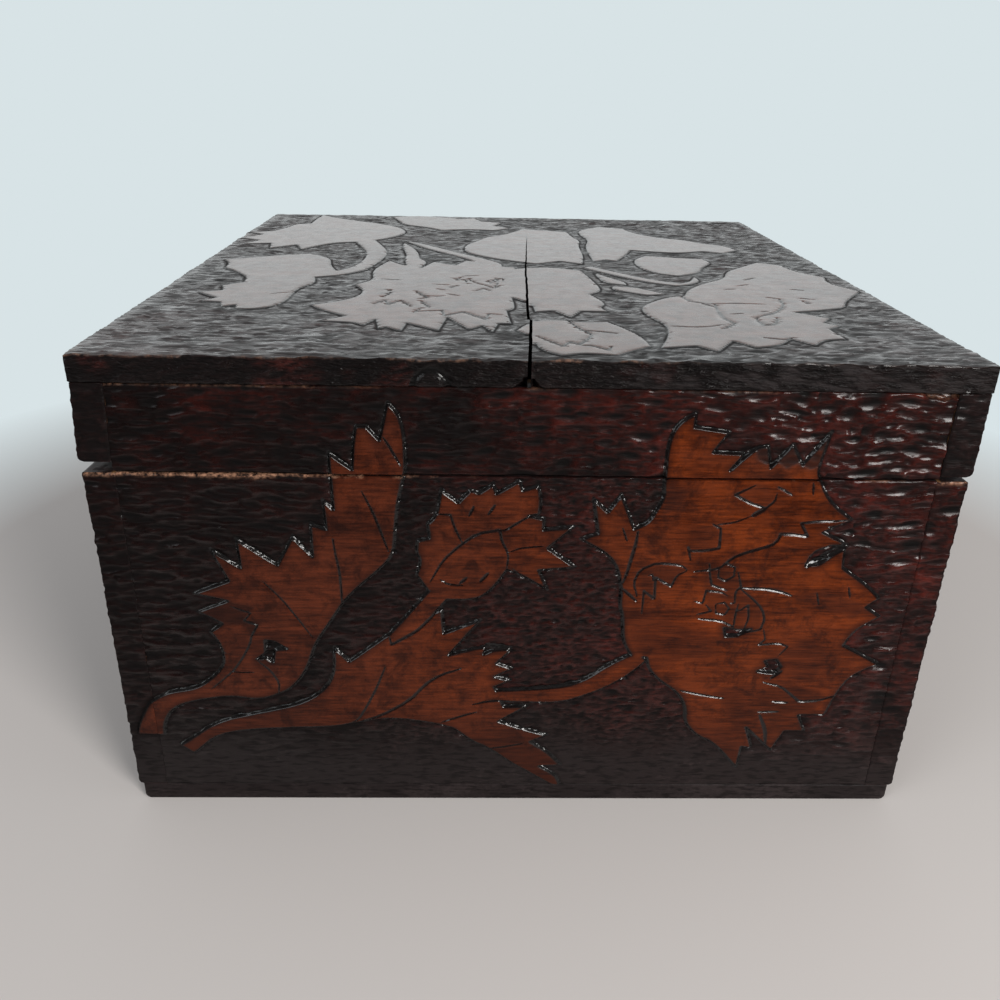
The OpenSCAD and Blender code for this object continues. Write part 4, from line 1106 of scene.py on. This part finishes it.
def wood(name, grain, seed, gloss=0.22, brown=BROWN, coats=(0.0, 0.0), ior=1.2, strength=0.3, across=(2,),
         strokes=(0.2, 0.9), cut_depth=5.0, halo=-2.6, outline=(0.75, 0.35), pooled=0.0):
    """Stained, burnt and varnished wood. grain is the axis that its grain runs along. strokes
    sets how close its small cuts lie, first along them and then on the axes across them. coats is
    the varnish on the figures and on the ground, pooled that in the lines, halo how far out the
    ground was scorched, and outline where the burnt line beside a figure starts and is full."""
    n = Nodes(bpy.data.materials.new(name))
    shift = (seed * 13.7, seed * 7.1, seed * 3.3)
    fine = n.noise(n.stretched(by_axis((grain,), 0.07, 0.9), shift), 1.6, 6, 0.65)
    bands = n.noise(n.stretched(by_axis((grain,), 0.012, 0.12), shift), 1.0, 3, 0.5, 0.6)
    cloud = n.noise(n.stretched(0.05, shift), 1.0, 5, 0.6)
    speck = n.noise(n.stretched(1, shift), 0.7, 5, 0.7)
    small = n.noise(n.stretched(by_axis(across, strokes[1], strokes[0]), shift), 1.0, 2)
    reach, cut, wear, hollow, tone, warm, inside = (n.mark(key) for key in MARKS)

    streaks = n.plus(n.times(fine, 0.45), n.times(bands, 0.25))
    streaks = n.spread(n.plus(streaks, n.times(cloud, 0.3)), 0.4, 0.58)
    figure = n.mix(warm, n.mix(streaks, *brown), n.mix(streaks, *ORANGE))
    # Scorched unevenly, most near the outlines
    patch = n.noise(n.stretched(0.16, shift), 1.0, 6, 0.7, 0.4)
    scorch = n.times(n.spread(reach, 3.0, 0.3), n.spread(cloud, 0.36, 0.58), True)
    scorch = n.most(n.times(scorch, 0.8), n.spread(patch, 0.47, 0.65, 0, 0.7))
    shaded = n.times(tone, n.spread(hollow, 0.1, 0.6, 0.75, 1))
    figure = n.mix(n.most(scorch, shaded), figure, SHADED)
    # The ground is burnt black in the gouge cuts and stained on the ridges between them
    mottle = n.spread(n.plus(n.times(cloud, 0.6), n.times(speck, 0.4)), 0.4, 0.6)
    ridge = n.times(n.spread(hollow, 0.9, 0.15), n.spread(mottle, 0, 1, 0.2, 1))
    ground = n.mix(tone, n.mix(warm, BLACK_GROUND, RED_GROUND), CHARRED_AND_SHEEN)
    ridge = n.most(ridge, n.times(tone, 0.6))
    ground = n.mix(n.times(ridge, n.spread(small, 0.38, 0.5, 0.4, 1)), BURNT, ground)
    colour = n.mix(n.spread(reach, 0.1, 0.4), ground, figure)
    line = n.most(n.spread(n.maths("ABSOLUTE", reach), *outline), n.spread(cut, 0.05, 0.45))
    colour = n.mix(n.times(line, 0.94), colour, srgb(9, 7, 7))
    worn = n.times(wear, n.spread(speck, 0.4, 0.6), True)
    colour = n.mix(worn, colour, n.mix(speck, srgb(96, 60, 44), srgb(186, 140, 112)))
    bare = n.mix(streaks, srgb(96, 66, 42), srgb(142, 104, 70))
    colour = n.mix(inside, colour, bare)
    n.set("Base Color", colour)

    rough = n.spread(n.noise(n.stretched(0.25, shift), 1.0, 4), 0.3, 0.7, gloss, gloss + 0.16)
    rough = n.most(rough, n.times(n.most(inside, wear), 0.6))
    # The iron left the ground dull, most of all beside the figures and where it is charred
    dull = n.times(n.spread(reach, halo, 0.1 * halo - 0.25), n.spread(cloud, 0.3, 0.5))
    dull = n.most(dull, n.spread(hollow, 0.5, 0.8, 0, 0.7))
    dull = n.most(dull, n.spread(small, 0.5, 0.44, 0, 0.6))
    dull = n.most(n.times(dull, n.spread(reach, 0.3, 0)), n.times(tone, 0.7))
    dull = n.most(dull, inside)
    n.set("IOR", ior)
    if max(coats) > 0:
        coat = n.spread(reach, -0.3, 0.1, coats[1], coats[0])
        coat = n.times(coat, n.spread(dull, 0, 0.9, 1, 0))
        coat = n.most(coat, n.times(line, pooled))
        n.set("Coat Weight", coat)
        rough = n.plus(rough, n.times(dull, 0.45))
    n.set("Roughness", rough)
    n.set("Coat Roughness", 0.16)
    cuts = n.times(small, n.spread(reach, 0.1, -0.5, 0, cut_depth))
    height = n.plus(n.times(fine, 0.6), n.times(speck, 0.4))
    height = n.plus(height, n.times(cuts, n.spread(tone, 0.3, 0.8, 1, 0.6)))
    bump = n.new("Bump", {"Strength": strength, "Distance": 0.0002, "Height": height})
    n.set("Normal", bump.outputs[0])
    return n.owner


def metal(name, clean, stained, scale, rough, metallic):
    """Metal with stained patches; rough is the roughness of the clean and of the stained parts."""
    n = Nodes(bpy.data.materials.new(name))
    spots = n.noise(n.stretched(scale), 1.0, 5, 0.6)
    n.set("Base Color", n.mix(n.spread(spots, 0.35, 0.7), clean, stained))
    n.set("Metallic", metallic)
    n.set("Roughness", n.spread(spots, 0.3, 0.7, *rough))
    return n.owner


wood_front = wood("wood_front", 0, 1, 0.2, coats=(0.0, 0.35), strength=0.4, pooled=0.6)
wood_rail = wood("wood_rail", 0, 2, 0.2, coats=(0.0, 0.25), pooled=0.6)
wood_lid = wood("wood_lid", 0, 3, 0.2, (srgb(70, 46, 38), srgb(104, 72, 60)), coats=(0.8, 1.0), ior=1.45,
                strength=0.2, across=(1, 2), strokes=(0.13, 0.85), cut_depth=13.0, halo=-1.3,
                outline=(0.6, 0.25))
wood_lid_edge = wood("wood_lid_edge", 0, 3, 0.22, coats=(0.0, 0.4), strength=0.7, across=(1, 2),
                     strokes=(0.3, 1.1), cut_depth=9.0, pooled=0.3)
wood_side = wood("wood_side", 1, 4, 0.28, coats=(0.0, 0.2))
wood_back = wood("wood_back", 0, 6, 0.4)
wood_base = wood("wood_base", 0, 5, 0.4)
brass = metal("aged_brass", srgb(150, 116, 62), srgb(92, 66, 36), 0.6, (0.3, 0.55), 1.0)
iron = metal("brad_iron", srgb(92, 88, 84), srgb(86, 52, 34), 1.2, (0.45, 0.75), 0.8)

dress(front_board(), "front_board", "body", "wood_carved", wood_front)
dress(lid_rail(), "lid_front_rail", "lid", "wood_carved", wood_rail)
dress(lid_top(), "lid_top", "lid", "wood_carved", wood_lid, wood_lid_edge)
for side, node in ((-1, "left_board"), (1, "right_board")):
    dress(side_board(side), node, "body", "wood_dark", wood_side)
for side, node in ((-1, "lid_left_rail"), (1, "lid_right_rail")):
    dress(side_rail(side), node, "lid", "wood_dark", wood_side)
back_low, back_high = box_mm("back_board")
base_z = box_mm("base_board")[1][2]
# The base is unstained between the walls' inner faces and half a millimetre into them
inner_x = (box_mm("left_board")[1][0] - 0.5, box_mm("right_board")[0][0] + 0.5)
inner_y = (FRONT_HIGH[1] - 0.5, back_low[1] + 0.5)


def bare_back(at):
    return at[:, 1] < back_high[1] - 0.7


def bare_base(at):
    x, y, z = at.T
    return ((z > base_z - 0.05) & (x > inner_x[0] - 0.1) & (x < inner_x[1] + 0.1)
            & (y > inner_y[0] - 0.1) & (y < inner_y[1] + 0.1))


for node, body in (("back_board", "body"), ("lid_back_rail", "lid")):
    dress(eased(node, bare_back), node, body, "wood_dark", wood_back)
splits = [(0, level) for level in inner_x] + [(1, level) for level in inner_y]
dress(eased("base_board", bare_base, splits), "base_board", "body", "wood_dark", wood_base)

for node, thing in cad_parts.items():
    if node.startswith("hinge") or node.endswith("brads"):
        thing.data.materials.clear()
        thing.data.materials.append(brass if node.startswith("hinge") else iron)

# ---------------------------------------------------------------- scene
# The camera was fitted to the box's corners in the photograph: its place, its yaw, pitch and
# roll, and its focal length as a share of the picture's width
CAMERA_PLACE = (-0.01473, -0.38007, 0.22171)
CAMERA_TURNS = (1.502, 24.731, 1.195)
FOCAL_SHARE = 0.9111
SENSOR = 36
camera_data = bpy.data.cameras.new("photo_camera")
camera = placed("photo_camera", camera_data)
bpy.context.scene.camera = camera
camera_data.sensor_width = SENSOR
camera_data.lens = SENSOR * FOCAL_SHARE
camera_data.clip_start = 0.01
yaw, pitch, roll = (math.radians(v) for v in CAMERA_TURNS)
forward = Vector((math.sin(yaw) * math.cos(pitch), math.cos(yaw) * math.cos(pitch), -math.sin(pitch)))
right = Vector((math.cos(yaw), -math.sin(yaw), 0))
up = right.cross(forward)
right, up = (math.cos(roll) * right + math.sin(roll) * up, math.cos(roll) * up - math.sin(roll) * right)
turn = Matrix((right, up, -forward)).transposed().to_4x4()
camera.matrix_world = Matrix.Translation(CAMERA_PLACE) @ turn


def lamp(name, place, target, size, power, colour=(1, 1, 1)):
    data = bpy.data.lights.new(name, "AREA")
    data.shape, data.size, data.energy, data.color = "DISK", size, power, colour
    thing = placed(name, data)
    thing.location = place
    thing.rotation_euler = (Vector(target) - Vector(place)).to_track_quat("-Z", "Y").to_euler()


lamp("key", (0.62, -1.0, 0.56), (0, -0.1, 0.08), 0.42, 12, (1, 0.985, 0.96))
lamp("fill", (-1.0, -1.0, 0.7), (0, 0, 0.08), 0.8, 5, (0.93, 0.97, 1))

# The wall as the eye sees it and as the varnish mirrors it, how bright that mirrors the room in
# front of the box, and where the floor's colour passes into the wall's, in metres from the box
WALL = srgb(216, 227, 230)
MIRRORED = srgb(221, 225, 226)
DIM_ROOM = 0.06
FLOOR = (0.63, 0.585, 0.56, 1)
FLOOR_FADE = (0.27, 0.42)
world = bpy.data.worlds.new("studio")
bpy.context.scene.world = world


def chosen(n, ray, seen, otherwise):
    """One shader for this kind of ray and another for the rest."""
    path = n.new("LightPath").outputs[ray]
    return n.new("MixShader", {0: path, 1: otherwise, 2: seen}).outputs[0]


def surroundings(n, kind, room, otherwise):
    """The pale wall for the eye, the room as bright as this for reflections, and the rest."""
    wall = n.new(kind, {"Color": (*WALL, 1), "Strength": 1.0}).outputs[0]
    mirrored = n.new(kind, {"Color": (*MIRRORED, 1), "Strength": room}).outputs[0]
    return chosen(n, "Is Camera Ray", wall, chosen(n, "Is Glossy Ray", mirrored, otherwise))


# The eye sees the pale wall all round. Reflections see it behind the box, and a dim room in front
n = Nodes(world)
toward = n.new("SeparateXYZ", {0: n.new("TexCoord").outputs["Generated"]})
room = n.spread(n.plus(toward.outputs[1], n.times(toward.outputs[2], 0.25)), -0.1, 0.4, DIM_ROOM)
ambient = n.new("Background", {"Color": (0.93, 0.97, 1, 1), "Strength": 0.45}).outputs[0]
n.feed(n.tree.nodes["World Output"].inputs["Surface"], surroundings(n, "Background", room, ambient))

# The floor is a pale cloth colour near the box and passes into the wall's colour further out
floor_mesh = bpy.data.meshes.new("floor")
floor_mesh.from_pydata([(-4, -4, 0), (4, -4, 0), (4, 4, 0), (-4, 4, 0)], [], [(0, 1, 2, 3)])
floor = placed("floor", floor_mesh)
n = Nodes(bpy.data.materials.new("pale_floor"))
place = n.new("TexCoord").outputs["Object"]
away = n.new("VectorMath", {0: place}, operation="LENGTH").outputs["Value"]
n.set("Base Color", FLOOR)
n.set("Roughness", 0.9)
n.set("Specular IOR Level", 0.0)
plain = n.shader.outputs[0]
room = n.spread(n.new("SeparateXYZ", {0: place}).outputs[1], -0.3, 0.1, DIM_ROOM)
far = surroundings(n, "Emission", room, plain)
n.feed(n.tree.nodes["Material Output"].inputs["Surface"],
       n.new("MixShader", {0: n.spread(away, *FLOOR_FADE), 1: plain, 2: far}).outputs[0])
floor_mesh.materials.append(n.owner)
bpy.context.scene.view_settings.view_transform = "Standard"
